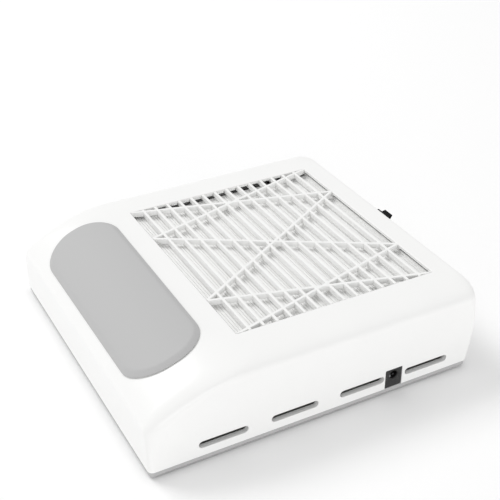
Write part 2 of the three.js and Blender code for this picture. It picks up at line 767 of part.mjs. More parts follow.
const lowerBearing = tubeFloor + fitGap;
const upperBearing = tubeTop - fitGap - bearingHeight;
const bearing = (bottom) => ring(bearingRadius, shaftRadius + fitGap, bottom, bottom + bearingHeight, small);
piece(fan, 'fan_stator', fanStator(), copper);
piece(fan, 'fan_bearing_lower', bearing(lowerBearing), steel);
piece(fan, 'fan_bearing_upper', bearing(upperBearing), steel);

// Filter tray: slides out to the left under the grille, with a barred floor under the paper
const paperLeft = -intakeHalf - paperEndOverlap;
const paperRight = trayEnd - trayWall - fitGap;
const paperFront = trayFront + trayWall + fitGap;
const paperBack = trayBack - trayWall - fitGap;
const dividerRight = paperLeft - fitGap;
const trayFloorTop = trayBottom + trayFloor;

function trayWindows() {
  const stepX = (paperRight - paperLeft - trayBarWidth) / trayWindowColumns;
  const stepY = (paperBack - paperFront - trayBarWidth) / trayWindowRows;
  return Array.from({ length: trayWindowColumns * trayWindowRows }, (_, i) => {
    const x = paperLeft + trayBarWidth + i % trayWindowColumns * stepX;
    const y = paperFront + trayBarWidth + Math.floor(i / trayWindowColumns) * stepY;
    return block(x, x + stepX - trayBarWidth, y, y + stepY - trayBarWidth,
      trayBottom - overrun, trayFloorTop + overrun);
  });
}

// Space inside the tray's walls between two places along X, open above
function trayRoom(x0, x1, bottom) {
  return block(x0, x1, trayFront + trayWall, trayBack - trayWall, bottom, trayTop + overrun);
}

function filterTray() {
  const left = dividerRight - trayWall;
  const box = block(left, trayEnd, trayFront, trayBack, trayBottom, trayTop).intersect(innerRoom);
  const room = trayRoom(dividerRight, trayEnd - trayWall, trayFloorTop);
  const overDivider = trayRoom(left - overrun, dividerRight + overrun, trayFloorTop + dividerHeight);
  return cut(box, [room, overDivider, ...trayWindows()]);
}

piece(collector, 'filter_tray', filterTray(), blackAbs);

// Finger well: the floor and cheeks that join the tray to its front
function fingerWell() {
  const right = dividerRight - trayWall - fitGap;
  const box = block(-halfWidth, right, trayFront, trayBack, trayBottom, trayTop).intersect(innerRoom);
  return box.subtract(trayRoom(-halfWidth, right + overrun, trayFloorTop));
}

piece(collector, 'finger_well', fingerWell(), blackAbs);

// Tray front: a piece of the housing's own side, flush with it, with a slot for the fingers
function filterFront() {
  const panel = block(-halfWidth - overrun, -plateauHalf, trayFront, trayBack, trayBottom, trayTop)
    .intersect(outerForm).subtract(innerForm);
  const slotZ = (trayBottom + trayTop) / 2;
  const slotHeight = trayTop - trayBottom - fingerSlotMargin * 2;
  const slot = roundedRectangle(fanY, slotZ, fingerSlotLength, slotHeight, slotHeight / 2);
  return panel.subtract(sideways(slot, -halfWidth - overrun, -plateauHalf));
}

piece(collector, 'filter_front', filterFront(), whiteAbs);

// Filter paper: one sheet folded in pleats that run along X, drawn as a zigzag band
function pleatedPaper() {
  const half = (paperBack - paperFront) / slatCells / pleatsPerCell / 2;
  const bottom = trayFloorTop + fitGap;
  const top = trayTop - paperTopDrop;
  const fold = paperThickness * (top - bottom) / (half + paperThickness);
  const above = [];
  const below = [];
  for (let i = 0; i <= slatCells * pleatsPerCell * 2; i++) {
    const y = paperFront + i * half;
    const peak = i % 2 ? top : bottom + fold;
    above.unshift([y, peak]);
    below.push([y, peak - fold]);
  }
  return sideways(outline([...above, ...below]), paperLeft, paperRight);
}

piece(collector, 'filter_paper', pleatedPaper(), filterPaper);

// Wrist pad: soft pad on the slope, crowned, with its rim drawn in at the foot
const padHalf = padWidth / 2;
const padY = padFromFront + padHalf - halfDepth;
const padInsetShares = [0.9, 0.6, 0.3, 0.05, 0.01, 0, 0.02, 0.08, 0.3, 0.6, 0.9];
const padRiseShares = [0, 0, 0, 0, 0.3, 0.55, 0.85, 1, 1, 1, 1];

function padPoint(x, y, height) {
  const step = padThickness / 2;
  const normal = new THREE.Vector2(slopeAt(y - step) - slopeAt(y + step), step * 2).normalize();
  return new THREE.Vector3(x, y + normal.x * height, slopeAt(y) + normal.y * height);
}

function wristPad() {
  return loft(padInsetShares.map((insetShare, i) => {
    const riseShare = padRiseShares[i];
    const crown = padCrown * (1 - (1 - insetShare) ** 2) * riseShare;
    const height = fitGap + padThickness * riseShare + crown;
    const inset = padHalf * insetShare;
    const radius = Math.max(padCorner - inset, leastRadius);
    const x = halfWidth - padFromSide - inset - radius;
    const y = padHalf - inset - radius;
    return [
      ...cornerArc(x, padY - y, radius, radius, -1, cornerSteps),
      ...cornerArc(x, padY + y, radius, radius, 0, cornerSteps),
      ...cornerArc(-x, padY + y, radius, radius, 1, cornerSteps),
      ...cornerArc(-x, padY - y, radius, radius, 2, cornerSteps),
    ].map((p) => padPoint(p.x, p.y, height));
  }));
}

piece(collector, 'wrist_pad', wristPad(), padRubber);

// Rocker switch: bezel outside the back wall, body through it, and a rocker on a level pivot
const rockerSwitch = new THREE.Group();
rockerSwitch.position.set(switchShift, switchBack, switchZ);
collector.add(rockerSwitch);

function switchHousing() {
  const face = fitGap + bezelThickness;
  const bezel = backwards(roundedRectangle(0, 0, bezelWidth, bezelHeight, bezelCorner), fitGap, face);
  const body = block(-switchHalfWidth, switchHalfWidth, -switchBodyDepth, fitGap * 2,
    -switchHalfHeight, switchHalfHeight);
  const window = block(-rockerWindowWidth / 2, rockerWindowWidth / 2, switchBackWall - switchBodyDepth,
    face + overrun, -rockerWindowHeight / 2, rockerWindowHeight / 2);
  return bezel.add(body).subtract(window);
}

piece(rockerSwitch, 'switch_housing', switchHousing(), blackAbs);

// Rocker drawn level about its pivot and turned so that its lower end stands out, as at rest
function switchRocker() {
  const half = rockerWindowWidth / 2 - fitGap;
  return sideways(outline([
    [-rockerDepth, -rockerFootHalf], [0, -rockerHalfHeight], [rockerReach, -rockerHalfHeight],
    [rockerDish, 0], [rockerReach, rockerHalfHeight], [0, rockerHalfHeight],
    [-rockerDepth, rockerFootHalf],
  ]), -half, half);
}

const rocker = piece(rockerSwitch, 'switch_rocker', switchRocker(), blackAbs);
rocker.position.y = -rockerPivotInset;
rocker.rotation.x = rockerTilt;

// Blade terminals that leave the switch body downwards, behind the wall
const terminal = () => block(-terminalWidth / 2, terminalWidth / 2,
  -terminalThickness / 2, terminalThickness / 2, -terminalLength, 0);
sides.forEach((side, i) =>
  piece(rockerSwitch, `switch_terminal_${i + 1}`, terminal(), brass)
    .position.set(side * terminalSpread, (-wall - switchBodyDepth) / 2, -switchHalfHeight - fitGap));

// Power socket: block with a round bore and a centre pin, on a small board that lies on the base
const powerSocket = new THREE.Group();
powerSocket.position.set(halfWidth - jackSetback, jackY, shellBottom + fitGap);
collector.add(powerSocket);

function levelBar(radius, x0, x1, sideCount) {
  const geometry = new THREE.CylinderGeometry(radius, radius, x1 - x0, sideCount).rotateZ(Math.PI / 2);
  return solidOf(geometry.translate((x0 + x1) / 2, 0, jackBoreRise));
}

function dcJack() {
  const body = block(-jackDepth, 0, -jackWidth / 2, jackWidth / 2, 0, jackHeight);
  return cut(body, [
    levelBar(jackBoreRadius, -jackBoreDepth, overrun, round),
    levelBar(jackMouthRadius, -jackMouthDepth, overrun, round),
  ]);
}

piece(powerSocket, 'dc_jack', dcJack(), blackAbs);
piece(powerSocket, 'dc_jack_pin',
  levelBar(jackPinRadius, fitGap - jackBoreDepth, -jackPinSetback, small), steel);

const boardRight = jackSetback - wall - fitGap - locatingRing - fitGap;
piece(powerSocket, 'jack_board', block(boardRight - boardDepth, boardRight, -boardWidth / 2, boardWidth / 2,
  -boardThickness - fitGap, -fitGap), boardGreen);

// Leads that lie on the base between the socket, the switch and the fan
function lead(points) {
  const path = new THREE.CatmullRomCurve3(points.map((p) => new THREE.Vector3(...p)), false, 'centripetal');
  const section = new THREE.Shape().absarc(0, 0, leadRadius, 0, Math.PI * 2);
  return solidOf(new THREE.ExtrudeGeometry(section, {
    steps: leadSteps, extrudePath: path, bevelEnabled: false, curveSegments: leadSides,
  }));
}

// Points of a route at their steps from a place
const from = (place, steps) => steps.map((step) => place.map((value, i) => value + step[i]));
const socketPlace = powerSocket.position.toArray();
const cornerPlace = [innerHalf, innerBack, floorTop];
const wallPlace = [switchShift, innerBack, floorTop];
const fanPlace = fan.position.toArray();
const terminalPlace = (side) => [
  switchShift + side * terminalSpread, switchBack - (wall + switchBodyDepth) / 2,
  switchZ - switchHalfHeight - fitGap - terminalLength,
];
piece(collector, 'lead_socket_to_switch', lead([
  ...from(socketPlace, fromSocketBack), ...from(cornerPlace, fromRightCorner),
  ...from(wallPlace, fromBackWall), ...from(terminalPlace(1), fromTerminal),
]), redSleeve);
piece(collector, 'lead_switch_to_fan', lead([
  ...from(terminalPlace(-1), fromTerminal).reverse(), ...from(wallPlace, fromBackWallToFan),
  ...from(fanPlace, fromFanToSwitch),
]), redSleeve);
piece(collector, 'lead_socket_to_fan', lead([
  ...from(socketPlace, fromSocketFront), ...from(fanPlace, fromFanToSocket),
]), blackSleeve);

// The origin lies under the middle of the whole object, whose back and rocker reach past the base
const rockerTip = rockerReach * Math.cos(rockerTilt) + rockerHalfHeight * Math.sin(rockerTilt);
collector.position.y = (rockerPivotInset - backLean - rockerTip) / 2;

export default collector;
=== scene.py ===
import bmesh
import bpy
import math
from mathutils import Matrix, Vector


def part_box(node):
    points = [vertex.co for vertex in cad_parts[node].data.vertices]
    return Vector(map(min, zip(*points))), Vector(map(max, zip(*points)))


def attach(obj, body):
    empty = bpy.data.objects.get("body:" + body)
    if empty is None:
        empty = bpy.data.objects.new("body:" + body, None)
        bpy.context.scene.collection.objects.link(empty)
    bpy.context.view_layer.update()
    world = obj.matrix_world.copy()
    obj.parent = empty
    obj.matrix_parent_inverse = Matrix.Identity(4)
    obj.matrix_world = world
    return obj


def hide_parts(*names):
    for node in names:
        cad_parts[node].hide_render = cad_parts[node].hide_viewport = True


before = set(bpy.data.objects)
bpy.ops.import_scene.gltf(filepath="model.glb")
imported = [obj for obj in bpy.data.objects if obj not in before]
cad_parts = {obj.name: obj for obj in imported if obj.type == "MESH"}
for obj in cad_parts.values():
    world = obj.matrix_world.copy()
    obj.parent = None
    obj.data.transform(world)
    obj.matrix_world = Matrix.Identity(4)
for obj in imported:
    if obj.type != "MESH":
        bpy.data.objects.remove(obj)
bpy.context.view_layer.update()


# The view: the camera stands where the photograph was taken from, in front of the right-hand
# front corner and above it. Its place, turn and lens come from the edges of the housing, base,
# grille and vents, all fitted at once.
VIEW_PLACE = (0.5829, -0.3063, 0.4766)
VIEW_HEADING = math.radians(61.89)
VIEW_PITCH = math.radians(31.86)
SENSOR = 36.0
LENS = 74.45
CLIP_START = 0.01

camera = bpy.data.objects.new("camera", bpy.data.cameras.new("camera"))
camera.data.sensor_width = SENSOR
camera.data.lens = LENS
camera.data.clip_start = CLIP_START
across = Vector((math.cos(VIEW_HEADING), math.sin(VIEW_HEADING), 0))
level = Vector((-math.sin(VIEW_HEADING), math.cos(VIEW_HEADING), 0))
forward = level * math.cos(VIEW_PITCH) - Vector((0, 0, math.sin(VIEW_PITCH)))
camera.matrix_world = Matrix.LocRotScale(
    Vector(VIEW_PLACE),
    Matrix((across, across.cross(forward), -forward)).transposed().to_quaternion(),
    None,
)
bpy.context.collection.objects.link(camera)
bpy.context.scene.camera = camera
bpy.context.scene.view_settings.view_transform = "Standard"


# The studio: a white sweep under the object in an evenly lit white tent, a large key light high on
# the left, which throws the soft shadow on the right, and a low fill on the right that lights the
# side but hardly the floor.
def linear(colour):
    """sRGB hex, such as "F4F4F2", as linear red, green, blue and alpha"""
    shares = [int(colour[i:i + 2], 16) / 255 for i in (0, 2, 4)]
    return [s / 12.92 if s <= 0.04045 else ((s + 0.055) / 1.055) ** 2.4 for s in shares] + [1]


def finish(name, colour, roughness, ior=1.5, metallic=0.0):
    """A material with its shader; each section adds the pattern of its own finish"""
    made = bpy.data.materials.new(name)
    made.use_nodes = True
    tree = made.node_tree
    shader = tree.nodes["Principled BSDF"]
    shader.inputs["Base Color"].default_value = linear(colour)
    shader.inputs["Roughness"].default_value = roughness
    shader.inputs["Metallic"].default_value = metallic
    if not metallic:
        shader.inputs["IOR"].default_value = ior
    return made, tree, shader


def mesh_object(name, points, faces, edges=()):
    made = bpy.data.meshes.new(name)
    made.from_pydata([tuple(p) for p in points], edges, faces)
    holder = bpy.data.objects.new(name, made)
    bpy.context.collection.objects.link(holder)
    return holder


WORLD_LIGHT = 0.71
FLOOR_SIZE = 8.0
world = bpy.data.worlds.new("white_studio")
world.use_nodes = True
world.node_tree.nodes["Background"].inputs["Color"].default_value = (1, 1, 1, 1)
world.node_tree.nodes["Background"].inputs["Strength"].default_value = WORLD_LIGHT
bpy.context.scene.world = world

# Each soft box as (name, place, what it points at, width, height, power in watts), in metres
SOFT_BOXES = [("key_left_front", (-2.1, -1.2, 2.9), (0, 0, 0), 1.6, 1.6, 54),
              ("fill_right_low", (3.2, -0.3, 0.6), (0, 0, 0.03), 2.4, 0.8, 20)]
for name, place, aim, width, height, power in SOFT_BOXES:
    lamp = bpy.data.lights.new(name, "AREA")
    lamp.shape = "RECTANGLE"
    lamp.size = width
    lamp.size_y = height
    lamp.energy = power
    holder = bpy.data.objects.new(name, lamp)
    holder.location = place
    holder.rotation_euler = (Vector(aim) - Vector(place)).to_track_quat("-Z", "Y").to_euler()
    bpy.context.collection.objects.link(holder)

floor_reach = FLOOR_SIZE / 2
floor = mesh_object("floor", [(-floor_reach, -floor_reach, 0), (floor_reach, -floor_reach, 0),
                              (floor_reach, floor_reach, 0), (-floor_reach, floor_reach, 0)], [(0, 1, 2, 3)])
floor.data.materials.append(finish("white_paper_sweep", "FDFDFD", 0.9)[0])


# Top cover: one glossy white ABS moulding, 2.4 mm thick and open below. Its front slopes up to a
# flat top, its sides round over in soft shoulders and its back bows out; it is cut for the intake,
# the filter, the vents, the switch and the power socket. Four screws pull it on to the base.
MM = 0.001
BODY_WIDTH = 250
BODY_DEPTH = 254
BODY_HEIGHT = 68
SHELL_BOTTOM = 6
WALL = 2.4
FRONT_HEIGHT = 38
SLOPE_RUN = 64
SLOPE_POWER = 1.5
SHOULDER_DROP = 10.5
SHOULDER_WIDTH = 26.5
SHOULDER_POWER = 2.65
SIDE_DRAFT = 0.3
BACK_LEAN = 4.7
BACK_LEAN_HEIGHT = 40
BACK_EDGE = 3.3
CORNER = 4
CORNER_START = 22
FRONT_CORNER_WIDTH = 27
FRONT_CORNER_LENGTH = 29
BACK_CORNER = 12
LEAST_RADIUS = 0.6
OVERRUN = 1
HALF_WIDTH = BODY_WIDTH / 2
HALF_DEPTH = BODY_DEPTH / 2
PLATEAU_FRONT = SLOPE_RUN - HALF_DEPTH
SHOULDER_START = BODY_HEIGHT - SHOULDER_DROP
SWITCH_BACK = HALF_DEPTH + BACK_LEAN
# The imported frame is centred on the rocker's reach too, so the housing sits a little forwards
SHIFT_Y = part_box("top_cover")[1][1] / MM - SWITCH_BACK
TO_FRAME = Matrix.Scale(MM, 4) @ Matrix.Translation((0, SHIFT_Y, 0))


def share(value):
    return min(max(value, 0.0), 1.0)


def fall(rise, power):
    """From 1 at the foot of a curve to 0 at its top, level with what joins it at both ends"""
    return (1 - rise ** power) ** (1 / power)


def side_at(z):
    draft = SIDE_DRAFT * share((z - SHELL_BOTTOM) / (SHOULDER_START - SHELL_BOTTOM))
    rise = share((z - SHOULDER_START) / SHOULDER_DROP)
    return HALF_WIDTH - draft - SHOULDER_WIDTH * (1 - fall(rise, SHOULDER_POWER))


def front_at(z):
    rise = share((z - FRONT_HEIGHT) / (BODY_HEIGHT - FRONT_HEIGHT))
    return PLATEAU_FRONT - SLOPE_RUN * fall(rise, SLOPE_POWER)


def back_at(z):
    lean = BACK_LEAN * (1 - (1 - share((z - SHELL_BOTTOM) / BACK_LEAN_HEIGHT)) ** 2)
    round_over = share((z - BODY_HEIGHT + BACK_EDGE) / BACK_EDGE)
    return HALF_DEPTH + lean - BACK_EDGE * (1 - fall(round_over, 2))


def slope_at(y):
    run = share((PLATEAU_FRONT - y) / SLOPE_RUN)
    return FRONT_HEIGHT + (BODY_HEIGHT - FRONT_HEIGHT) * fall(run, SLOPE_POWER)


def arc(x, y, radius_x, radius_y, quarter, steps):
    """Quarter of an ellipse, counter-clockwise from a number of quarter turns"""
    turns = [(quarter + i / steps) * math.pi / 2 for i in range(steps + 1)]
    return [(x + radius_x * math.cos(a), y + radius_y * math.sin(a)) for a in turns]


def body_section(z, inset, steps):
    """Plan outline of the housing at a height, moved inwards"""
    soft = share((z - CORNER_START) / (BODY_HEIGHT - CORNER_START))

    def corner(target, part):
        return max(CORNER + (target - CORNER) * part - inset, LEAST_RADIUS)

    front_x = corner(FRONT_CORNER_WIDTH, soft ** 2)
    front_y = corner(FRONT_CORNER_LENGTH, soft)
    back_r = corner(BACK_CORNER, soft ** 3)
    side = side_at(z) - inset
    front = front_at(z) + inset
    back = back_at(z) - inset
    return [
        *arc(side - front_x, front + front_y, front_x, front_y, -1, steps),
        *arc(side - back_r, back - back_r, back_r, back_r, 0, steps),
        *arc(back_r - side, back - back_r, back_r, back_r, 1, steps),
        *arc(front_x - side, front + front_y, front_x, front_y, 2, steps),
    ]


def loft(name, rings):
    """Closed skin over rings of points with one count, counter-clockwise seen from the last ring"""
    count = len(rings[0])
    faces = []
    for r in range(len(rings) - 1):
        low, high = r * count, (r + 1) * count
        for i in range(count):
            j = (i + 1) % count
            faces.append((low + i, low + j, high + j, high + i))
    faces.append(tuple(reversed(range(count))))
    faces.append(tuple(range((len(rings) - 1) * count, len(rings) * count)))
    return mesh_object(name, [p for ring in rings for p in ring], faces)


def stack(name, levels):
    """Closed skin over (outline, height) pairs, from the lowest up"""
    return loft(name, [[(x, y, z) for x, y in outline] for outline, z in levels])


def slab(name, outline, z0, z1):
    return stack(name, [(outline, z0), (outline, z1)])


def circle(radius, sides, x=0.0, y=0.0):
    turns = [i / sides * math.tau for i in range(sides)]
    return [(x + radius * math.cos(a), y + radius * math.sin(a)) for a in turns]


def column(name, radius, z0, z1, sides, x=0.0, y=0.0):
    return slab(name, circle(radius, sides, x, y), z0, z1)


def block(name, x0, x1, y0, y1, z0, z1):
    return slab(name, [(x0, y0), (x1, y0), (x1, y1), (x0, y1)], z0, z1)


def rounded(a, b, width, height, radius, steps, grow=0.0):
    """Rectangle with round corners about (a, b), grown all round"""
    radius = radius + grow
    da = width / 2 + grow - radius
    db = height / 2 + grow - radius
    return [
        *arc(a + da, b - db, radius, radius, -1, steps),
        *arc(a + da, b + db, radius, radius, 0, steps),
        *arc(a - da, b + db, radius, radius, 1, steps),
        *arc(a - da, b - db, radius, radius, 2, steps),
    ]


def lip_steps(radius, steps=4):
    """Rounded mouth of a hole, as (depth below the face, how far it has grown there)"""
    turns = [i / steps * math.pi / 2 for i in range(steps + 1)]
    return [(radius - radius * math.sin(a), radius - radius * math.cos(a)) for a in turns]


def baked(piece):
    """The piece with its modifiers worked into its mesh"""
    graph = bpy.context.evaluated_depsgraph_get()
    new = bpy.data.meshes.new_from_object(piece.evaluated_get(graph))
    piece.modifiers.clear()
    old, piece.data = piece.data, new
    bpy.data.meshes.remove(old)
    return piece


def remove(piece):
    mesh = piece.data
    bpy.data.objects.remove(piece)
    bpy.data.meshes.remove(mesh)


def boolean(piece, tools, operation="DIFFERENCE"):
    for each in tools:
        change = piece.modifiers.new("boolean", "BOOLEAN")
        change.operation = operation
        change.solver = "MANIFOLD"
        change.object = each
    baked(piece)
    for each in tools:
        remove(each)
    return piece


def cut(piece, *tools):
    return boolean(piece, tools)


def join(piece, *tools):
    return boolean(piece, tools, "UNION")


def settle(piece, sharp=30, weighted=True):
    """Takes a piece from millimetres to its place in the frame, with smooth faces and crisp edges"""
    piece.data.transform(TO_FRAME)
    piece.data.shade_smooth()
    piece.data.set_sharp_from_angle(angle=math.radians(sharp))
    if weighted:
        change = piece.modifiers.new("weighted", "WEIGHTED_NORMAL")
        change.keep_sharp = True
    return piece


def fitted(piece, material, slot, body, *nodes):
    """Gives a piece its finish and its body, in place of the CAD nodes that it stands for"""
    piece.data.materials.clear()
    piece.data.materials.append(material)
    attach(piece, body)
    if nodes:
        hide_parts(*nodes)
    return piece


CORNER_STEPS = 20
SHOULDER_STEPS = 34
LOWER_START = 8
LOWER_STEPS = 24
INSIDE_STEPS = 10
lower_levels = [LOWER_START + (SHOULDER_START - LOWER_START) * i / LOWER_STEPS
                for i in range(LOWER_STEPS + 1)]
upper_levels = [BODY_HEIGHT - SHOULDER_DROP * (1 - i / SHOULDER_STEPS) ** SHOULDER_POWER
                for i in range(1, SHOULDER_STEPS + 1)]
FOOT_EDGE = 0.4
foot_rings = [(SHELL_BOTTOM + depth, growth) for depth, growth in reversed(lip_steps(FOOT_EDGE))]


def outer_form(name):
    """The cover's outside as a solid, with a small round along its foot"""
    rings = foot_rings + [(z, 0) for z in lower_levels + upper_levels]
    return stack(name, [(body_section(z, inset, CORNER_STEPS), z) for z, inset in rings])


def inner_form():
    """The room inside the cover's wall"""
    return stack("inside", [(body_section(z, WALL, INSIDE_STEPS), z - WALL)
                            for z in (SHELL_BOTTOM, *lower_levels, *upper_levels[::2])])


INTAKE_WIDTH = 183
INTAKE_DEPTH = 160.2
INTAKE_MIDDLE = 33.5
INTAKE_LIP = 0.5
INTAKE_CORNER = 0.8
VENT_PLACES = [-73.3, -19.3, 34.7, 88.7]
VENT_LENGTH = 36.5
VENT_HEIGHT = 5.5
VENT_Z = 15.3
VENT_LIP = 0.35
VENT_COLLAR = 1.2
VENT_COLLAR_DEPTH = 1.6
CORNER_ARC = 6
SIDE_DEPTH = 6
SIDE_OVERRUN = 4


def intake_cutter():
    top = [(BODY_HEIGHT - depth, growth) for depth, growth in lip_steps(INTAKE_LIP)]
    levels = [(BODY_HEIGHT - WALL - OVERRUN * 2, 0)] + top + [(BODY_HEIGHT + OVERRUN, top[-1][1])]
    return stack("intake", [
        (rounded(0, INTAKE_MIDDLE, INTAKE_WIDTH, INTAKE_DEPTH, INTAKE_CORNER, CORNER_ARC, growth), z)
        for z, growth in levels])


def on_side(name, side, rings):
    """Closed skin over rings that run outwards on the right side, or their mirror image on the left"""
    rings = [[(side * x, y, z) for x, y, z in ring] for ring in rings]
    return loft(name, rings if side > 0 else [ring[::-1] for ring in rings])


def side_cutter(name, side, y, z, width, height, radius, lip, depth=SIDE_DEPTH):
    """A hole through a side wall, with its mouth rounded where it meets the drafted face"""
    return on_side(name, side, [
        [(side_at(b) - below, a, b) for a, b in rounded(y, z, width, height, radius, CORNER_ARC, growth)]
        for below, growth in [(depth, 0)] + lip_steps(lip) + [(-SIDE_OVERRUN, lip)]])


def vent_collar(side, y):
    """Block that thickens the wall round a vent, from the middle of the wall inwards"""
    outline = rounded(y, VENT_Z, VENT_LENGTH, VENT_HEIGHT, VENT_HEIGHT / 2, CORNER_ARC, VENT_COLLAR)
    return on_side("collar", side, [[(HALF_WIDTH - below, a, b) for a, b in outline]
                                    for below in (WALL + VENT_COLLAR_DEPTH, WALL / 2)])


TRAY_FRONT = -50.2
TRAY_BACK = 117.2
TRAY_BOTTOM = 41.7
TRAY_TOP = 62.5
SLIDE_GAP = 0.5
SLOT_CORNER = 1.0
SLOT_LIP = 0.25
SLOT_DEPTH = 16
tray_middle = (TRAY_FRONT + TRAY_BACK) / 2
tray_middle_z = (TRAY_BOTTOM + TRAY_TOP) / 2
filter_slot = side_cutter(
    "filter_slot", -1, tray_middle, tray_middle_z, TRAY_BACK - TRAY_FRONT + SLIDE_GAP * 2,
    TRAY_TOP - TRAY_BOTTOM + SLIDE_GAP * 2, SLOT_CORNER, SLOT_LIP, SLOT_DEPTH)

JACK_Y = 61.0
JACK_WIDTH = 13.6
JACK_HEIGHT = 15.3
JACK_CORNER = 0.7
NOTCH_DROP = 4
NOTCH_LIP = 0.2
FIT_GAP = 0.3
JACK_BOTTOM = SHELL_BOTTOM + FIT_GAP
jack_notch = side_cutter(
    "jack_notch", 1, JACK_Y, JACK_BOTTOM + JACK_HEIGHT / 2 - NOTCH_DROP / 2, JACK_WIDTH + FIT_GAP * 2,
    JACK_HEIGHT + FIT_GAP * 2 + NOTCH_DROP, JACK_CORNER, NOTCH_LIP)

SWITCH_Z = 55.2
SWITCH_BODY_WIDTH = 12.8
SWITCH_BODY_HEIGHT = 18.8
switch_window = block(
    "switch_window", -SWITCH_BODY_WIDTH / 2 - FIT_GAP, SWITCH_BODY_WIDTH / 2 + FIT_GAP,
    SWITCH_BACK - WALL - BACK_EDGE, SWITCH_BACK + OVERRUN, SWITCH_Z - SWITCH_BODY_HEIGHT / 2 - FIT_GAP,
    SWITCH_Z + SWITCH_BODY_HEIGHT / 2 + FIT_GAP)

BOSS_FROM_SIDE = 7.2
BOSS_FROM_FRONT = 15
BOSS_FROM_BACK = 13
BOSS_PLACES = [(side * (HALF_WIDTH - BOSS_FROM_SIDE), y) for side in (-1, 1)
               for y in (BOSS_FROM_FRONT - HALF_DEPTH, HALF_DEPTH - BOSS_FROM_BACK)]
BOSS_RADIUS = 4.5
BOSS_BOTTOM = 7.8
BOSS_TOP = 34
BOSS_WEB = 3
SCREW_HOLE = 1.6
PILOT_TOP = 26.5
HOLE_SIDES = 16
ROUND_SIDES = 32


def columns(name, places, radius, z0, z1, sides=ROUND_SIDES):
    return [column(name, radius, z0, z1, sides, x, y) for x, y in places]


top_cover = cut(outer_form("housing_cover"), inner_form())
for x, y in BOSS_PLACES:
    edge = math.copysign(HALF_WIDTH - WALL / 2, x)
    join(top_cover,
         column("boss", BOSS_RADIUS, BOSS_BOTTOM, BOSS_TOP, ROUND_SIDES, x, y),
         block("web", min(x, edge), max(x, edge), y - BOSS_WEB / 2, y + BOSS_WEB / 2, BOSS_BOTTOM, BOSS_TOP))
join(top_cover, *[vent_collar(side, y) for side in (-1, 1) for y in VENT_PLACES])
cut(top_cover, intake_cutter(), filter_slot, jack_notch, switch_window,
    *[side_cutter("vent", side, y, VENT_Z, VENT_LENGTH, VENT_HEIGHT, VENT_HEIGHT / 2, VENT_LIP)
      for side in (-1, 1) for y in VENT_PLACES],
    *columns("pilot", BOSS_PLACES, SCREW_HOLE, SHELL_BOTTOM - OVERRUN * 2, PILOT_TOP, HOLE_SIDES))
settle(top_cover)


def add_node(tree, kind, settings=None, inputs=None):
    """One node with its settings; an input takes a value or the socket that feeds it"""
    made = tree.nodes.new(kind)
    for name, value in (settings or {}).items():
        setattr(made, name, value)
    for key, value in (inputs or {}).items():
        if isinstance(value, bpy.types.NodeSocket):
            tree.links.new(value, made.inputs[key])
        else:
            made.inputs[key].default_value = value
    return made


NOISE_LOW = 0.3
NOISE_HIGH = 0.7


def clouded(tree, shader, patch, detail, tones=(), dulled=(), distortion=0.0):
    """Soft patches of a real size that shift a finish between two tones or two roughnesses"""
    place = add_node(tree, "ShaderNodeTexCoord").outputs["Object"]
    cloud = add_node(tree, "ShaderNodeTexNoise", None, {
        "Vector": place, "Scale": 1 / patch, "Detail": detail, "Distortion": distortion}).outputs["Fac"]
    if tones:
        tone = add_node(tree, "ShaderNodeMix", {"data_type": "RGBA"}, {
            "Factor": cloud, "A": linear(tones[0]), "B": linear(tones[1])})
        tree.links.new(tone.outputs["Result"], shader.inputs["Base Color"])
    if dulled:
        gloss = add_node(tree, "ShaderNodeMapRange", None, {
            "Value": cloud, "From Min": NOISE_LOW, "From Max": NOISE_HIGH,
            "To Min": dulled[0], "To Max": dulled[1]})
        tree.links.new(gloss.outputs["Result"], shader.inputs["Roughness"])
    return cloud


# Moulded white ABS: bright and half-gloss. Its white drifts by a shade over patches of about 25 mm,
# as the melt filled the mould, which keeps the large faces from looking like flat paint.
MELT_PATCH = 25 * MM
white_abs, tree, shader = finish("moulded_white_abs", "F7F7F6", 0.3, ior=1.53)
clouded(tree, shader, MELT_PATCH, 1, ("F6F6F5", "F8F8F7"))
fitted(top_cover, white_abs, "white_abs", "housing", "top_cover")


# Intake grille: a white ABS moulding of fourteen slats and six slanting ribs, set in the cover's
# opening and welded under its skin by a rim. The ribs cross between the corners and the quarter
# points of the front and back edges.
SLAT_CELLS = 15
SLAT_WIDTH = 2.2
SLAT_DEPTH = 4.4
SLAT_EDGE = 0.45
BAR_EDGE_STEPS = 3
OPENING_ARC = 4
RIB_RISE = 0.12
RIB_SHARE = 0.243
GRILLE_LAP = 3
GRILLE_RIM = 2.5
RIM_TOP = BODY_HEIGHT - WALL - SLIDE_GAP
RIM_CUT = 6
INTAKE_HALF = INTAKE_WIDTH / 2
INTAKE_FRONT = INTAKE_MIDDLE - INTAKE_DEPTH / 2
INTAKE_BACK = INTAKE_MIDDLE + INTAKE_DEPTH / 2
GRILLE_BOTTOM = BODY_HEIGHT - SLAT_DEPTH
BAR_END = GRILLE_LAP + GRILLE_RIM / 2


def node_tree(name, *sockets):
    """A Geometry Nodes tree with its named inputs, and what its group input gives out"""
    tree = bpy.data.node_groups.new(name, "GeometryNodeTree")
    tree.is_modifier = True
    tree.interface.new_socket("Geometry", in_out="INPUT", socket_type="NodeSocketGeometry")
    for label, kind in sockets:
        tree.interface.new_socket(label, in_out="INPUT", socket_type="NodeSocket" + kind)
    tree.interface.new_socket("Geometry", in_out="OUTPUT", socket_type="NodeSocketGeometry")
    return tree, add_node(tree, "NodeGroupInput").outputs


def tree_end(tree, given, shape):
    """Closes a tree: instances made real, then the material"""
    real = add_node(tree, "GeometryNodeRealizeInstances", None, {"Geometry": shape})
    painted = add_node(tree, "GeometryNodeSetMaterial", None, {
        "Geometry": real.outputs["Geometry"], "Material": given["Material"]})
    add_node(tree, "NodeGroupOutput", None, {"Geometry": painted.outputs["Geometry"]})


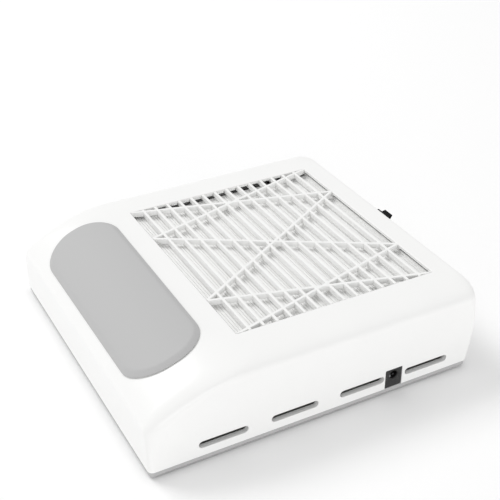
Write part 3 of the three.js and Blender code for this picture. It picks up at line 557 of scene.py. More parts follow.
def grown(holder, tree, **values):
    """The piece as a tree makes it, with the tree's inputs set by their identifiers"""
    change = holder.modifiers.new("grown", "NODES")
    change.node_group = tree
    for item in tree.interface.items_tree:
        label = item.name.replace(" ", "_").lower()
        if item.item_type == "SOCKET" and item.in_out == "INPUT" and label in values:
            change[item.identifier] = values[label]
    return baked(holder)


def paths(name, lines):
    """A mesh of loose edges, one chain of points for each line"""
    points, edges = [], []
    for line in lines:
        edges += [(len(points) + i, len(points) + i + 1) for i in range(len(line) - 1)]
        points += line
    return mesh_object(name, points, [], edges)


# Bars along paths: each chain of edges becomes a bar with rounded edges, and crossing bars are fused
bar_tree, given = node_tree("bars_along_paths", ("Width", "Float"), ("Depth", "Float"), ("Edge", "Float"),
                            ("Edge Steps", "Int"), ("Material", "Material"))
lines = add_node(bar_tree, "GeometryNodeMeshToCurve", None, {"Mesh": given["Geometry"]})
upright = add_node(bar_tree, "GeometryNodeSetCurveNormal", {"mode": "Z_UP"}, {
    "Curve": lines.outputs["Curve"]})
section = add_node(bar_tree, "GeometryNodeCurvePrimitiveQuadrilateral", None, {
    "Width": given["Width"], "Height": given["Depth"]})
soft_section = add_node(bar_tree, "GeometryNodeFilletCurve", {"mode": "POLY"}, {
    "Curve": section.outputs["Curve"], "Radius": given["Edge"], "Count": given["Edge Steps"]})
bars = add_node(bar_tree, "GeometryNodeCurveToMesh", None, {
    "Curve": upright.outputs["Curve"], "Profile Curve": soft_section.outputs["Curve"], "Fill Caps": True})
tree_end(bar_tree, given, bars.outputs["Mesh"])


def bars_on(name, lines, width, depth, edge, material):
    return grown(paths(name, lines), bar_tree, width=width, depth=depth, edge=edge, edge_steps=BAR_EDGE_STEPS,
                 material=material)


slat_pitch = INTAKE_DEPTH / SLAT_CELLS
slat_z = BODY_HEIGHT - RIB_RISE - SLAT_DEPTH / 2
slat_lines = [[(-INTAKE_HALF - BAR_END, INTAKE_FRONT + i * slat_pitch, slat_z),
               (INTAKE_HALF + BAR_END, INTAKE_FRONT + i * slat_pitch, slat_z)] for i in range(1, SLAT_CELLS)]
rib_ends = [(0, RIB_SHARE), (RIB_SHARE, 0), (RIB_SHARE, 1 - RIB_SHARE),
            (1 - RIB_SHARE, RIB_SHARE), (1 - RIB_SHARE, 1), (1, 1 - RIB_SHARE)]
rib_lines = []
for front_share, back_share in rib_ends:
    lean = (back_share - front_share) * INTAKE_WIDTH / INTAKE_DEPTH
    rib_z = BODY_HEIGHT - SLAT_DEPTH / 2
    rib_lines.append([
        (INTAKE_WIDTH * front_share - INTAKE_HALF - lean * BAR_END, INTAKE_FRONT - BAR_END, rib_z),
        (INTAKE_WIDTH * back_share - INTAKE_HALF + lean * BAR_END, INTAKE_BACK + BAR_END, rib_z)])


def octagon(grow, corner_cut):
    """Rim outline round the intake, with its corners cut off under the housing's round ones"""
    x, front, back = INTAKE_HALF + grow, INTAKE_FRONT - grow, INTAKE_BACK + grow
    return [(corner_cut - x, front), (x - corner_cut, front), (x, front + corner_cut),
            (x, back - corner_cut), (x - corner_cut, back), (corner_cut - x, back),
            (-x, back - corner_cut), (-x, front + corner_cut)]


grille = bars_on("grille", slat_lines, SLAT_WIDTH, SLAT_DEPTH, SLAT_EDGE, white_abs)
for line in rib_lines:
    join(grille, bars_on("rib", [line], SLAT_WIDTH, SLAT_DEPTH, SLAT_EDGE, white_abs))
# Under the skin the bars are cut down to the rim's height; in the opening they keep clear of its edge
opening = slab("opening", rounded(0, INTAKE_MIDDLE, INTAKE_WIDTH - FIT_GAP * 2, INTAKE_DEPTH - FIT_GAP * 2,
                                  INTAKE_CORNER - FIT_GAP, OPENING_ARC),
               GRILLE_BOTTOM - OVERRUN, BODY_HEIGHT + OVERRUN)
rim_outside = octagon(GRILLE_LAP + GRILLE_RIM, RIM_CUT)
rim_inside = octagon(GRILLE_LAP, RIM_CUT - GRILLE_RIM * (2 - math.sqrt(2)))
under_skin = slab("under_skin", rim_outside, GRILLE_BOTTOM - OVERRUN * 2, RIM_TOP)
boolean(grille, [join(opening, under_skin)], "INTERSECT")
join(grille, cut(slab("rim", rim_outside, GRILLE_BOTTOM, RIM_TOP),
                 slab("rim_inside", rim_inside, GRILLE_BOTTOM - OVERRUN, RIM_TOP + OVERRUN)))
fitted(settle(grille), white_abs, "white_abs", "housing", "intake_grille")


# Base plate: a grey ABS tray that closes the housing from below. It is set back a little from the
# cover, with a ring that centres the cover, cups that sink the screw heads, and four posts that
# carry the duct plate. Its surface has a fine spark-eroded grain.
BASE_UNDERSIDE = 1.5
BASE_INSET = 0.8
BASE_EDGE = 1.1
FLOOR_TOP = 4
RING_TOP = 7.5
RING_INSET = WALL + FIT_GAP
RING_WALL = 1.6
POST_TOP = 38.7
HEAD_SEAT = 5
SCREW_HEAD = 2.9
POST_PLACES = [(side * 90, y) for side in (-1, 1) for y in (-38.5, 105.5)]
POST_PILOT = 19
FOOT_FROM_SIDE = 21
FOOT_PLACES = [(a * (HALF_WIDTH - FOOT_FROM_SIDE), b * (HALF_DEPTH - FOOT_FROM_SIDE))
               for a in (-1, 1) for b in (-1, 1)]
FOOT_STEM = 3
BASE_CORNER_STEPS = 8
JACK_DEPTH = 13.5


def foot_outline(inset):
    return body_section(SHELL_BOTTOM, inset, BASE_CORNER_STEPS)


base_rings = [(BASE_UNDERSIDE + depth, BASE_INSET + growth)
              for depth, growth in reversed(lip_steps(BASE_EDGE))]
base_rings.append((SHELL_BOTTOM - FIT_GAP, BASE_INSET))
base = stack("base_tray", [(foot_outline(inset), z) for z, inset in base_rings])
join(base, slab("ring", foot_outline(RING_INSET), FLOOR_TOP, RING_TOP))
cut(base, slab("hollow", foot_outline(RING_INSET + RING_WALL), FLOOR_TOP, RING_TOP + OVERRUN))
join(base, *columns("cup", BOSS_PLACES, BOSS_RADIUS, BASE_UNDERSIDE, RING_TOP),
     *columns("post", POST_PLACES, BOSS_RADIUS, BASE_UNDERSIDE, POST_TOP))
jack_room = block(
    "jack_room", HALF_WIDTH - WALL - JACK_DEPTH, HALF_WIDTH + OVERRUN, JACK_Y - JACK_WIDTH / 2 - FIT_GAP,
    JACK_Y + JACK_WIDTH / 2 + FIT_GAP, SHELL_BOTTOM - FIT_GAP, RING_TOP + OVERRUN)
cut(base, jack_room,
    *columns("head", BOSS_PLACES, SCREW_HEAD + FIT_GAP, 0, HEAD_SEAT),
    *columns("shank", BOSS_PLACES, SCREW_HOLE, 0, RING_TOP + OVERRUN, HOLE_SIDES),
    *columns("pilot", POST_PLACES, SCREW_HOLE, POST_TOP - POST_PILOT, POST_TOP + OVERRUN, HOLE_SIDES),
    *columns("stem", FOOT_PLACES, FOOT_STEM + FIT_GAP, 0, FLOOR_TOP + OVERRUN))
settle(base)

# The eroded grain is 0.3 mm in real life, drawn 0.8 mm coarse so that it shows as a satin surface
GRAIN = 0.8 * MM
GRAIN_RISE = 0.03 * MM
grey_abs, tree, shader = finish("spark_eroded_grey_abs", "B9B9B9", 0.5, ior=1.53)
grain = clouded(tree, shader, GRAIN, 3, ("B4B4B4", "BEBEBE"))
bump = add_node(tree, "ShaderNodeBump", None, {"Height": grain, "Strength": 0.5, "Distance": GRAIN_RISE})
tree.links.new(bump.outputs["Normal"], shader.inputs["Normal"])
fitted(base, grey_abs, "grey_abs", "housing", "base_plate")


# Feet: four black rubber buttons, pushed through the base by a barbed stem. Moulded rubber, dull
# and slightly bloomed, with a rounded sole.
FOOT_RADIUS = 8
FOOT_THICKNESS = 1.2

# One piece at every point: the point's own "turn" says how it stands
repeat_tree, given = node_tree("piece_at_points", ("Piece", "Object"), ("Material", "Material"))
source = add_node(repeat_tree, "GeometryNodeObjectInfo", {"transform_space": "ORIGINAL"}, {
    "Object": given["Piece"]})
turn = add_node(repeat_tree, "GeometryNodeInputNamedAttribute", {"data_type": "FLOAT_VECTOR"}, {
    "Name": "turn"})
copies = add_node(repeat_tree, "GeometryNodeInstanceOnPoints", None, {
    "Points": given["Geometry"], "Instance": source.outputs["Geometry"],
    "Rotation": turn.outputs["Attribute"]})
tree_end(repeat_tree, given, copies.outputs["Instances"])


def repeated(name, piece, places, material):
    """Copies of a piece at places, each given as (point, turn about X, Y and Z), as one object"""
    holder = mesh_object(name, [point for point, angles in places], [])
    turns = holder.data.attributes.new("turn", "FLOAT_VECTOR", "POINT")
    turns.data.foreach_set("vector", [v for point, angles in places for v in angles])
    grown(holder, repeat_tree, piece=piece, material=material)
    remove(piece)
    return holder


def lathe(name, profile, sides):
    """Closed turned piece from (radius, height) pairs, lowest on the axis first"""
    return stack(name, [(circle(radius, sides), z) for radius, z in profile[1:-1]])


SOLE_EDGE = 0.5
BARB = 0.6
barb_z = FLOOR_TOP + FIT_GAP
foot_profile = [(0, 0)]
foot_profile += [(FOOT_RADIUS - growth, depth) for depth, growth in reversed(lip_steps(SOLE_EDGE))]
foot_profile += [(FOOT_RADIUS, FOOT_THICKNESS), (FOOT_STEM, FOOT_THICKNESS), (FOOT_STEM, barb_z),
                 (FOOT_STEM + BARB, barb_z), (FOOT_STEM, barb_z + FOOT_THICKNESS),
                 (0, barb_z + FOOT_THICKNESS)]
BLOOM = 3 * MM
black_rubber, tree, shader = finish("moulded_black_rubber", "2B2B2B", 0.8, ior=1.52)
clouded(tree, shader, BLOOM, 3, ("262626", "323231"))
feet = repeated("feet", lathe("foot", foot_profile, ROUND_SIDES),
                [((x, y, 0), (0, 0, 0)) for x, y in FOOT_PLACES], black_rubber)
fitted(settle(feet), black_rubber, "black_rubber", "housing", "foot_1", "foot_2", "foot_3", "foot_4")


# Screws: plated steel self-tapping screws with a low domed head and a cross recess. Four hold the
# base to the cover, four the duct plate to its posts, and four the fan under the duct plate.
SCREW_HEAD_HEIGHT = 1.0
HEAD_DOME = 0.3
THREAD_PITCH = 1.3
THREAD_DEPTH = 0.28
CROSS_ARM = 1.8
CROSS_WIDTH = 0.6
CROSS_DEPTH = 0.55
SCREW_SIDES = 20
BASE_SCREW_LENGTH = 18.5
PLATE_SCREW_LENGTH = 15
SCREW_SHANK = 1.3
FAN_SCREW_SHANK = 1.8
SCREW_TIP = 0.25
THREAD_START = 1.6
THREAD_END = 1.2
PLAIN_SHANK = 0.5
PLATE_HEAD_SEAT = 40.1
FAN_HOLE = 52.5
# Each screw stopped at its own angle; these are the steps from one to the next, in radians
BASE_TURN = 0.4
DUCT_TURN = 0.5
FAN_TURN = 0.4
FAN_FIRST_TURN = 0.3


def screw(length, shank):
    """Screw on its own axis, pointing down, with the underside of its head at the origin"""
    profile = [(0, -length), (SCREW_TIP, -length)]
    z = THREAD_START - length
    while z < -THREAD_END:
        profile += [(shank - THREAD_DEPTH, z - THREAD_PITCH / 2), (shank, z)]
        z += THREAD_PITCH
    profile += [(shank - THREAD_DEPTH, -PLAIN_SHANK), (shank - THREAD_DEPTH, 0), (SCREW_HEAD, 0)]
    profile += [(SCREW_HEAD - growth, SCREW_HEAD_HEIGHT - depth) for depth, growth in lip_steps(HEAD_DOME)]
    profile += [(0, SCREW_HEAD_HEIGHT)]
    low, high = SCREW_HEAD_HEIGHT - CROSS_DEPTH, SCREW_HEAD_HEIGHT + OVERRUN
    return cut(lathe("screw", profile, SCREW_SIDES),
               block("slot", -CROSS_ARM, CROSS_ARM, -CROSS_WIDTH / 2, CROSS_WIDTH / 2, low, high),
               block("slot", -CROSS_WIDTH / 2, CROSS_WIDTH / 2, -CROSS_ARM, CROSS_ARM, low, high))


# Plated steel: bright, grey and slightly streaked by the barrel it was plated in
STREAK = 0.9 * MM
steel, tree, shader = finish("plated_steel", "BDBFC2", 0.3, metallic=1.0)
clouded(tree, shader, STREAK, 2, dulled=(0.24, 0.38))
base_places = [((x, y, HEAD_SEAT - FIT_GAP), (math.pi, 0, BASE_TURN * i))
               for i, (x, y) in enumerate(BOSS_PLACES)]
duct_places = [((x, y, PLATE_HEAD_SEAT), (0, 0, DUCT_TURN * i)) for i, (x, y) in enumerate(POST_PLACES)]
fan_places = [((a * FAN_HOLE, INTAKE_MIDDLE + b * FAN_HOLE, PLATE_HEAD_SEAT),
               (0, 0, FAN_FIRST_TURN + FAN_TURN * a * b)) for a in (-1, 1) for b in (-1, 1)]
for name, places, length, shank in (("base_screw", base_places, BASE_SCREW_LENGTH, SCREW_SHANK),
                                    ("duct_screw", duct_places, PLATE_SCREW_LENGTH, SCREW_SHANK),
                                    ("fan_screw", fan_places, PLATE_SCREW_LENGTH, FAN_SCREW_SHANK)):
    screws = repeated(f"{name}s", screw(length, shank), places, steel)
    fitted(settle(screws), steel, "steel", "housing", *[f"{name}_{i}" for i in (1, 2, 3, 4)])


# Wrist pad: a soft grey elastomer cushion glued on the slope. Its top is gently crowned, and a
# sloping rim about 4 mm wide runs round it down to a thin upright edge.
PAD_LENGTH = 192
PAD_WIDTH = 56
PAD_FROM_FRONT = 6.5
PAD_CORNER = 26
PAD_STEPS = 16
# The end beside the power socket is drawn in by this much, and narrowed by this share
PAD_END_RUN = 46
PAD_END_TRIM = 2.4
PAD_END_TAPER = 0.07
SLOPE_SAMPLE = 1.6
# Each step of the skin as (inset from the outline, height over the slope), from the middle of the
# underside round the edge to the middle of the top
PAD_SKIN = [
    (27, 0.3), (20, 0.3), (12, 0.3), (5, 0.3), (1, 0.3), (0.25, 0.35), (0, 0.6), (0, 0.8), (0.1, 1.05),
    (0.4, 1.35), (0.9, 1.74), (1.6, 2.26), (2.3, 2.78), (3, 3.26), (3.6, 3.58), (4.2, 3.77), (5.2, 3.88),
    (7, 3.94), (10, 4.0), (14, 4.08), (18, 4.14), (22, 4.2), (25, 4.24), (27, 4.25)]
pad_y = PAD_FROM_FRONT + PAD_WIDTH / 2 - HALF_DEPTH


def on_slope(x, y, height):
    """A point at a height over the sloping front, square to it"""
    normal = Vector((slope_at(y - SLOPE_SAMPLE) - slope_at(y + SLOPE_SAMPLE), SLOPE_SAMPLE * 2)).normalized()
    return x, y + normal.x * height, slope_at(y) + normal.y * height


def pad_ring(inset, height):
    radius = max(PAD_CORNER - inset, LEAST_RADIUS)
    outline = rounded(0, pad_y, PAD_LENGTH - inset * 2, PAD_WIDTH - inset * 2, radius, PAD_STEPS)
    ring = []
    for x, y in outline:
        end = share((x - PAD_LENGTH / 2) / PAD_END_RUN + 1) ** 2
        ring.append(on_slope(x - PAD_END_TRIM * end, pad_y + (y - pad_y) * (1 - PAD_END_TAPER * end), height))
    return ring


pad = settle(loft("wrist_cushion", [pad_ring(inset, height) for inset, height in PAD_SKIN]), sharp=60)

# Matt elastomer: mid grey, dull, with a fine skin grain of 0.5 mm, drawn 0.9 mm coarse
SKIN_GRAIN = 0.9 * MM
SKIN_RISE = 0.03 * MM
pad_rubber, tree, shader = finish("soft_grey_elastomer", "BABABA", 0.62, ior=1.45)
place = add_node(tree, "ShaderNodeTexCoord").outputs["Object"]
skin = add_node(tree, "ShaderNodeTexVoronoi", {"feature": "SMOOTH_F1"}, {
    "Vector": place, "Scale": 1 / SKIN_GRAIN})
bump = add_node(tree, "ShaderNodeBump", None, {
    "Height": skin.outputs["Distance"], "Strength": 0.25, "Distance": SKIN_RISE})
tree.links.new(bump.outputs["Normal"], shader.inputs["Normal"])
shader.inputs["Sheen Weight"].default_value = 0.08
shader.inputs["Sheen Roughness"].default_value = 0.5
fitted(pad, pad_rubber, "pad_rubber", "housing", "wrist_pad")


# Filter tray and finger well: black plastic drawer parts that slide out to the left. The tray has
# a barred floor under the paper, and the well behind the tray front leaves room for the fingers.
EDGE_BREAK = 0.25
WELD_REACH = 0.005


def softened(piece, width, segments, angle):
    change = piece.modifiers.new("edges", "BEVEL")
    change.width = width
    change.segments = segments
    change.limit_method = "ANGLE"
    change.angle_limit = math.radians(angle)


def dressed(name, material):
    """A CAD node that keeps its shape: better material, and its moulded edges broken"""
    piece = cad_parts[name]
    for each in piece.material_slots:
        each.material = material
    weld = piece.modifiers.new("weld", "WELD")
    weld.merge_threshold = WELD_REACH * MM
    softened(piece, EDGE_BREAK * MM, segments=2, angle=40)
    even = piece.modifiers.new("weighted", "WEIGHTED_NORMAL")
    even.keep_sharp = False


# Black ABS: near black and half-matt, with the faint mottling of a filled plastic
MOTTLE = 2.5 * MM
black_abs, tree, shader = finish("moulded_black_abs", "1A1A1B", 0.42, ior=1.53)
clouded(tree, shader, MOTTLE, 3, ("161617", "202021"), (0.36, 0.5))
# The black of the tray and the well is partly painted shade: it stands in for the deep dark of the gaps at
# the intake's left edge and behind the finger slot
dressed("filter_tray", black_abs)
dressed("finger_well", black_abs)


# Tray front: a piece of the housing's own left side in white ABS, flush with it and 0.5 mm clear
# all round, with a long slot for the fingertips. It is screwed to the finger well.
FINGER_SLOT_LENGTH = 70
FINGER_SLOT_HEIGHT = 12.8
FINGER_SLOT_LIP = 0.5
PANEL_CORNER = 0.6
front_panel = boolean(outer_form("filter_front_panel"), [side_cutter(
    "panel_room", -1, tray_middle, tray_middle_z, TRAY_BACK - TRAY_FRONT, TRAY_TOP - TRAY_BOTTOM,
    PANEL_CORNER, 0, SLOT_DEPTH)], "INTERSECT")
cut(front_panel, inner_form(),
    side_cutter("finger_slot", -1, INTAKE_MIDDLE, tray_middle_z, FINGER_SLOT_LENGTH, FINGER_SLOT_HEIGHT,
                FINGER_SLOT_HEIGHT / 2, FINGER_SLOT_LIP, SLOT_DEPTH))
fitted(settle(front_panel), white_abs, "white_abs", "filter_drawer", "filter_front")


# Filter paper: one sheet of white non-woven paper, folded into 75 pleats that run along the slats.
# The crests are pressed broad and nearly touch, no two are quite the same height, and a flap at the
# front and a shorter one at the back lap over the tray's rims.
PAPER_LEFT = -92.2
PAPER_RIGHT = 92.9
PAPER_FRONT = -48.1
PAPER_BACK = 115.1
PAPER_BOTTOM = 43.7
PAPER_TOP = 61.5
PAPER_THICKNESS = 0.35
PLEATS = 75
PLEAT_POINTS = 16
PAPER_STRIPS = 6
CREST_BREADTH = 40.0
PAPER_WAVER = 0.25
PAPER_SEED = 7
FLAP_TOP = 62.9
FLAP_START = 0.6
FLAP_FRONT = 1.6
FLAP_BACK = 0.8

pleat_tree, given = node_tree("pleated_sheet", ("Width", "Float"), ("Depth", "Float"), ("Height", "Float"),
                              ("Pleats", "Int"), ("Points", "Int"), ("Strips", "Int"), ("Breadth", "Float"),
                              ("Waver", "Float"), ("Seed", "Int"), ("Material", "Material"))


def work_out(operation, *values):
    """The result of one sum in the pleats' tree"""
    inputs = dict(enumerate(values))
    return add_node(pleat_tree, "ShaderNodeMath", {"operation": operation}, inputs).outputs[0]


points = work_out("MULTIPLY", given["Pleats"], given["Points"])
sheet = add_node(pleat_tree, "GeometryNodeMeshGrid", None, {
    "Size X": given["Width"], "Size Y": given["Depth"], "Vertices X": given["Strips"],
    "Vertices Y": work_out("ADD", points, 1.0)})
where = add_node(pleat_tree, "GeometryNodeInputPosition").outputs["Position"]
along = add_node(pleat_tree, "ShaderNodeSeparateXYZ", None, {"Vector": where}).outputs["Y"]
turns = work_out("ADD", work_out("DIVIDE", work_out("MULTIPLY", along, given["Pleats"]), given["Depth"]), 0.5)
swing = work_out("SINE", work_out("MULTIPLY", turns, math.pi))
valley = work_out("POWER", work_out("MULTIPLY", swing, swing), given["Breadth"])
wave = work_out("SUBTRACT", 1.0, work_out("MULTIPLY", valley, 2.0))
pleat_number = work_out("FLOOR", work_out("ADD", turns, 0.5))
uneven = add_node(pleat_tree, "FunctionNodeRandomValue", {"data_type": "FLOAT"}, {
    "Max": given["Waver"], "ID": pleat_number, "Seed": given["Seed"]}).outputs["Value"]
crest = work_out("MULTIPLY", uneven, work_out("MAXIMUM", wave, 0.0))
height = work_out("SUBTRACT", work_out("MULTIPLY", wave, work_out("DIVIDE", given["Height"], 2.0)), crest)
lift = add_node(pleat_tree, "ShaderNodeCombineXYZ", None, {"Z": height}).outputs["Vector"]
folded = add_node(pleat_tree, "GeometryNodeSetPosition", None, {
    "Geometry": sheet.outputs["Mesh"], "Offset": lift})
tree_end(pleat_tree, given, folded.outputs["Geometry"])

# Non-woven paper: matt, milky white, with tangled fibres 0.6 mm across that mottle it softly
FIBRE = 0.6 * MM
FIBRE_RISE = 0.06 * MM
filter_paper, tree, shader = finish("non_woven_filter_paper", "F6F6F5", 0.95, ior=1.45)
fibre = clouded(tree, shader, FIBRE, 4, ("F3F3F2", "F9F9F8"), distortion=1.2)
bump = add_node(tree, "ShaderNodeBump", None, {"Height": fibre, "Strength": 0.5, "Distance": FIBRE_RISE})
tree.links.new(bump.outputs["Normal"], shader.inputs["Normal"])


def merged(pieces):
    """Several solids as one mesh object, under the first one's name"""
    whole = bmesh.new()
    for each in pieces:
        whole.from_mesh(each.data)
    whole.to_mesh(pieces[0].data)
    whole.free()
    for each in pieces[1:]:
        remove(each)
    return pieces[0]


paper = grown(
    paths("pleated_paper", [[(0, 0, 0), (0, 0, 1)]]), pleat_tree, width=PAPER_RIGHT - PAPER_LEFT,
    depth=PAPER_BACK - PAPER_FRONT, height=PAPER_TOP - PAPER_BOTTOM - PAPER_THICKNESS, pleats=PLEATS,
    points=PLEAT_POINTS, strips=PAPER_STRIPS, breadth=CREST_BREADTH, waver=PAPER_WAVER, seed=PAPER_SEED,
    material=filter_paper)
paper.data.transform(Matrix.Translation((
    (PAPER_LEFT + PAPER_RIGHT) / 2, (PAPER_FRONT + PAPER_BACK) / 2, (PAPER_BOTTOM + PAPER_TOP) / 2)))
stock = paper.modifiers.new("stock", "SOLIDIFY")
stock.thickness = PAPER_THICKNESS
stock.offset = 0
baked(paper)
flaps = []
for side, end, reach in ((-1, PAPER_FRONT, FLAP_FRONT), (1, PAPER_BACK, FLAP_BACK)):
    section = [(-FLAP_START, PAPER_TOP - PAPER_THICKNESS), (0, FLAP_TOP - PAPER_THICKNESS),
               (reach, FLAP_TOP - PAPER_THICKNESS), (reach, FLAP_TOP), (-PAPER_THICKNESS, FLAP_TOP),
               (-FLAP_START, PAPER_TOP)][::side]
    flaps.append(loft("flap", [[(x, end + side * out, z) for out, z in section]
                               for x in (PAPER_LEFT, PAPER_RIGHT)]))
merged([paper, *flaps])
fitted(settle(paper, sharp=50, weighted=False), filter_paper, "filter_paper", "filter_drawer", "filter_paper")


# Duct plate: a white ABS plate on the base's four posts that closes the space under the filter. It
# has a round mouth for the fan, rails for the tray, and sunk seats for its screws and the fan's.
dressed("duct_plate", white_abs)


# Fan frame: the glass-filled black frame of a standard 120 mm fan, screwed under the duct plate. A
# round duct with a flared mouth joins two square flanges, and four struts carry the motor plate.
FAN_BOTTOM = 13.7
FAN_SIZE = 120
FAN_HEIGHT = 25
FAN_CORNER = 5
FLANGE_ARC = 8
FAN_FLANGE = 4
FAN_BORE = 57.5
FAN_DUCT_WALL = 2.2
FAN_MOUTH = 1.5
FAN_EAR = 4.4
FAN_HOLE_RADIUS = 2.25
FAN_SIDES = 120
MOTOR_PLATE = 20
MOTOR_PLATE_THICKNESS = 2.3
STRUT_WIDTH = 3
STRUT_HEIGHT = 3.5
STRUT_EDGE = 0.6
TUBE_RADIUS = 5.3
TUBE_TOP = 16.4
TUBE_EDGE = 0.3
TUBE_SIDES = 48
MOTOR_PLATE_EDGE = 0.8
BEARING_RADIUS = 3.9
AT_FAN = Matrix.Translation((0, INTAKE_MIDDLE, FAN_BOTTOM))
fan_ears = [(a * FAN_HOLE, b * FAN_HOLE) for a in (-1, 1) for b in (-1, 1)]


def settled_at_fan(piece, sharp=30):
    piece.data.transform(AT_FAN)
    return settle(piece, sharp)


def edged_disc(name, radius, z0, z1, edge, sides=FAN_SIDES):
    """Round disc with its upper edge rounded"""
    profile = [(0, z0), (radius, z0)]
    profile += [(radius - growth, z1 - depth) for depth, growth in lip_steps(edge)]
    return lathe(name, profile + [(0, z1)], sides)


def flange(z0, z1):
    return slab("flange", rounded(0, 0, FAN_SIZE, FAN_SIZE, FAN_CORNER, FLANGE_ARC), z0, z1)


fan_bore = [(0, -OVERRUN), (FAN_BORE, -OVERRUN), (FAN_BORE, FAN_HEIGHT - FAN_MOUTH)]
fan_bore += [(FAN_BORE + growth, FAN_HEIGHT - depth) for depth, growth in lip_steps(FAN_MOUTH, steps=6)[1:]]
fan_bore += [(FAN_BORE + FAN_MOUTH, FAN_HEIGHT + OVERRUN), (0, FAN_HEIGHT + OVERRUN)]
fan_frame = join(flange(0, FAN_FLANGE), flange(FAN_HEIGHT - FAN_FLANGE, FAN_HEIGHT),
                 column("tunnel", FAN_BORE + FAN_DUCT_WALL, 0, FAN_HEIGHT, FAN_SIDES),
                 *columns("ear", fan_ears, FAN_EAR, 0, FAN_HEIGHT))
cut(fan_frame, lathe("bore", fan_bore, FAN_SIDES),
    *columns("hole", fan_ears, FAN_HOLE_RADIUS, -OVERRUN, FAN_HEIGHT + OVERRUN, SCREW_SIDES))
strut_reach = FAN_BORE + FAN_DUCT_WALL / 2
for x, y in ((strut_reach, 0), (0, strut_reach)):
    join(fan_frame, bars_on("strut", [[(-x, -y, STRUT_HEIGHT / 2), (x, y, STRUT_HEIGHT / 2)]], STRUT_WIDTH,
                            STRUT_HEIGHT, STRUT_EDGE, black_abs))
join(fan_frame, edged_disc("motor_plate", MOTOR_PLATE, 0, MOTOR_PLATE_THICKNESS, MOTOR_PLATE_EDGE),
     edged_disc("bearing_tube", TUBE_RADIUS, 0, TUBE_TOP, TUBE_EDGE, TUBE_SIDES))
cut(fan_frame, column("tube_bore", BEARING_RADIUS + FIT_GAP, MOTOR_PLATE_THICKNESS / 2, TUBE_TOP + OVERRUN,
                      TUBE_SIDES))
fan_frame.name = "axial_fan_frame"
fitted(settled_at_fan(fan_frame), black_abs, "black_abs", "housing", "fan_frame")


# Impeller: a black rotor cup with seven cambered, twisted blades, moulded in one piece and pressed
# on its shaft. The blades are steep at the cup and flatten towards their tips.
HUB_RADIUS = 19.5
HUB_WALL = 1.5
HUB_BOTTOM = 3.8
HUB_TOP = 22
HUB_ROUND = 2.2
HUB_DISH = 0.35
HUB_DISH_RADIUS = 15.5
HUB_BOSS = 3.4
HUB_BOSS_DEPTH = 3
SHAFT_RADIUS = 1.3
BLADES = 7
BLADE_TIP_GAP = 1.2
BLADE_THICKNESS = 1.8
BLADE_CAMBER = 2.4
BLADE_ROOT_LAP = 1
BLADE_CHORDS = (19, 36)
BLADE_PITCHES = (math.radians(45), math.radians(22))
BLADE_STATIONS = 12
BLADE_CHORD_STEPS = 12
HUB_SIDES = 96
blade_middle = (STRUT_HEIGHT + HUB_TOP) / 2
hub_roof = HUB_TOP - HUB_WALL


def between(ends, part):
    return ends[0] + (ends[1] - ends[0]) * part


def blade_section(part):
    """Closed outline of a blade at a share of its span, wrapped round the axis"""
    radius = between((HUB_RADIUS - BLADE_ROOT_LAP, FAN_BORE - BLADE_TIP_GAP), part)
    chord, pitch = between(BLADE_CHORDS, part), between(BLADE_PITCHES, part)
    shares = [i / BLADE_CHORD_STEPS - 0.5 for i in range(BLADE_CHORD_STEPS + 1)]
    faces = [(s, -1) for s in shares] + [(s, 1) for s in reversed(shares[1:-1])]
    outline = []
    for s, face in faces:
        u = s * chord
        v = BLADE_CAMBER * (1 - 4 * s * s) + face * BLADE_THICKNESS / 2 * math.sqrt(1 - (2 * s) ** 4)
        around = (u * math.cos(pitch) - v * math.sin(pitch)) / radius
        outline.append((radius * math.cos(around), radius * math.sin(around),
                        blade_middle + u * math.sin(pitch) + v * math.cos(pitch)))
    return outline


blade = loft("blade", [blade_section(i / BLADE_STATIONS) for i in range(BLADE_STATIONS + 1)])
blades = repeated("blades", blade, [((0, 0, 0), (0, 0, i / BLADES * math.tau)) for i in range(BLADES)],
                  black_abs)
impeller = join(edged_disc("impeller", HUB_RADIUS, HUB_BOTTOM, HUB_TOP, HUB_ROUND, HUB_SIDES), blades)
cut(impeller, column("cup", HUB_RADIUS - HUB_WALL, 0, hub_roof, HUB_SIDES),
    column("dish", HUB_DISH_RADIUS, HUB_TOP - HUB_DISH, HUB_TOP + OVERRUN, HUB_SIDES))
join(impeller, column("hub_boss", HUB_BOSS, hub_roof - HUB_BOSS_DEPTH, HUB_TOP - HUB_WALL / 2, ROUND_SIDES))
cut(impeller, column("shaft_seat", SHAFT_RADIUS + FIT_GAP, hub_roof - HUB_BOSS_DEPTH - OVERRUN, hub_roof,
                     ROUND_SIDES))
fitted(settled_at_fan(impeller, sharp=40), black_abs, "black_abs", "impeller", "fan_impeller")


# Rotor magnet: a ring of plastic-bonded ferrite, glued inside the cup. Dark grey and dead matt, with
# the fine sparkle of its powder.
MAGNET_OUTER = 17.5
MAGNET_INNER = 16.6
MAGNET_BOTTOM = HUB_BOTTOM + FIT_GAP
MAGNET_EDGE = 0.2
POWDER = 0.5 * MM


def turned_ring(name, loop, sides):
    """Ring turned about the axis from a closed loop of (radius, height) points"""
    count = len(loop)
    points, faces = [], []
    for k in range(sides):
        a = k / sides * math.tau
        points += [(r * math.cos(a), r * math.sin(a), z) for r, z in loop]
        here, beyond = k * count, (k + 1) % sides * count
        faces += [(here + i, beyond + i, beyond + (i + 1) % count, here + (i + 1) % count)
                  for i in range(count)]
    return mesh_object(name, points, faces)


def ring_loop(inner, outer, z0, z1, edge):
    return [(inner, z0 + edge), (inner + edge, z0), (outer - edge, z0), (outer, z0 + edge),
            (outer, z1 - edge), (outer - edge, z1), (inner + edge, z1), (inner, z1 - edge)]


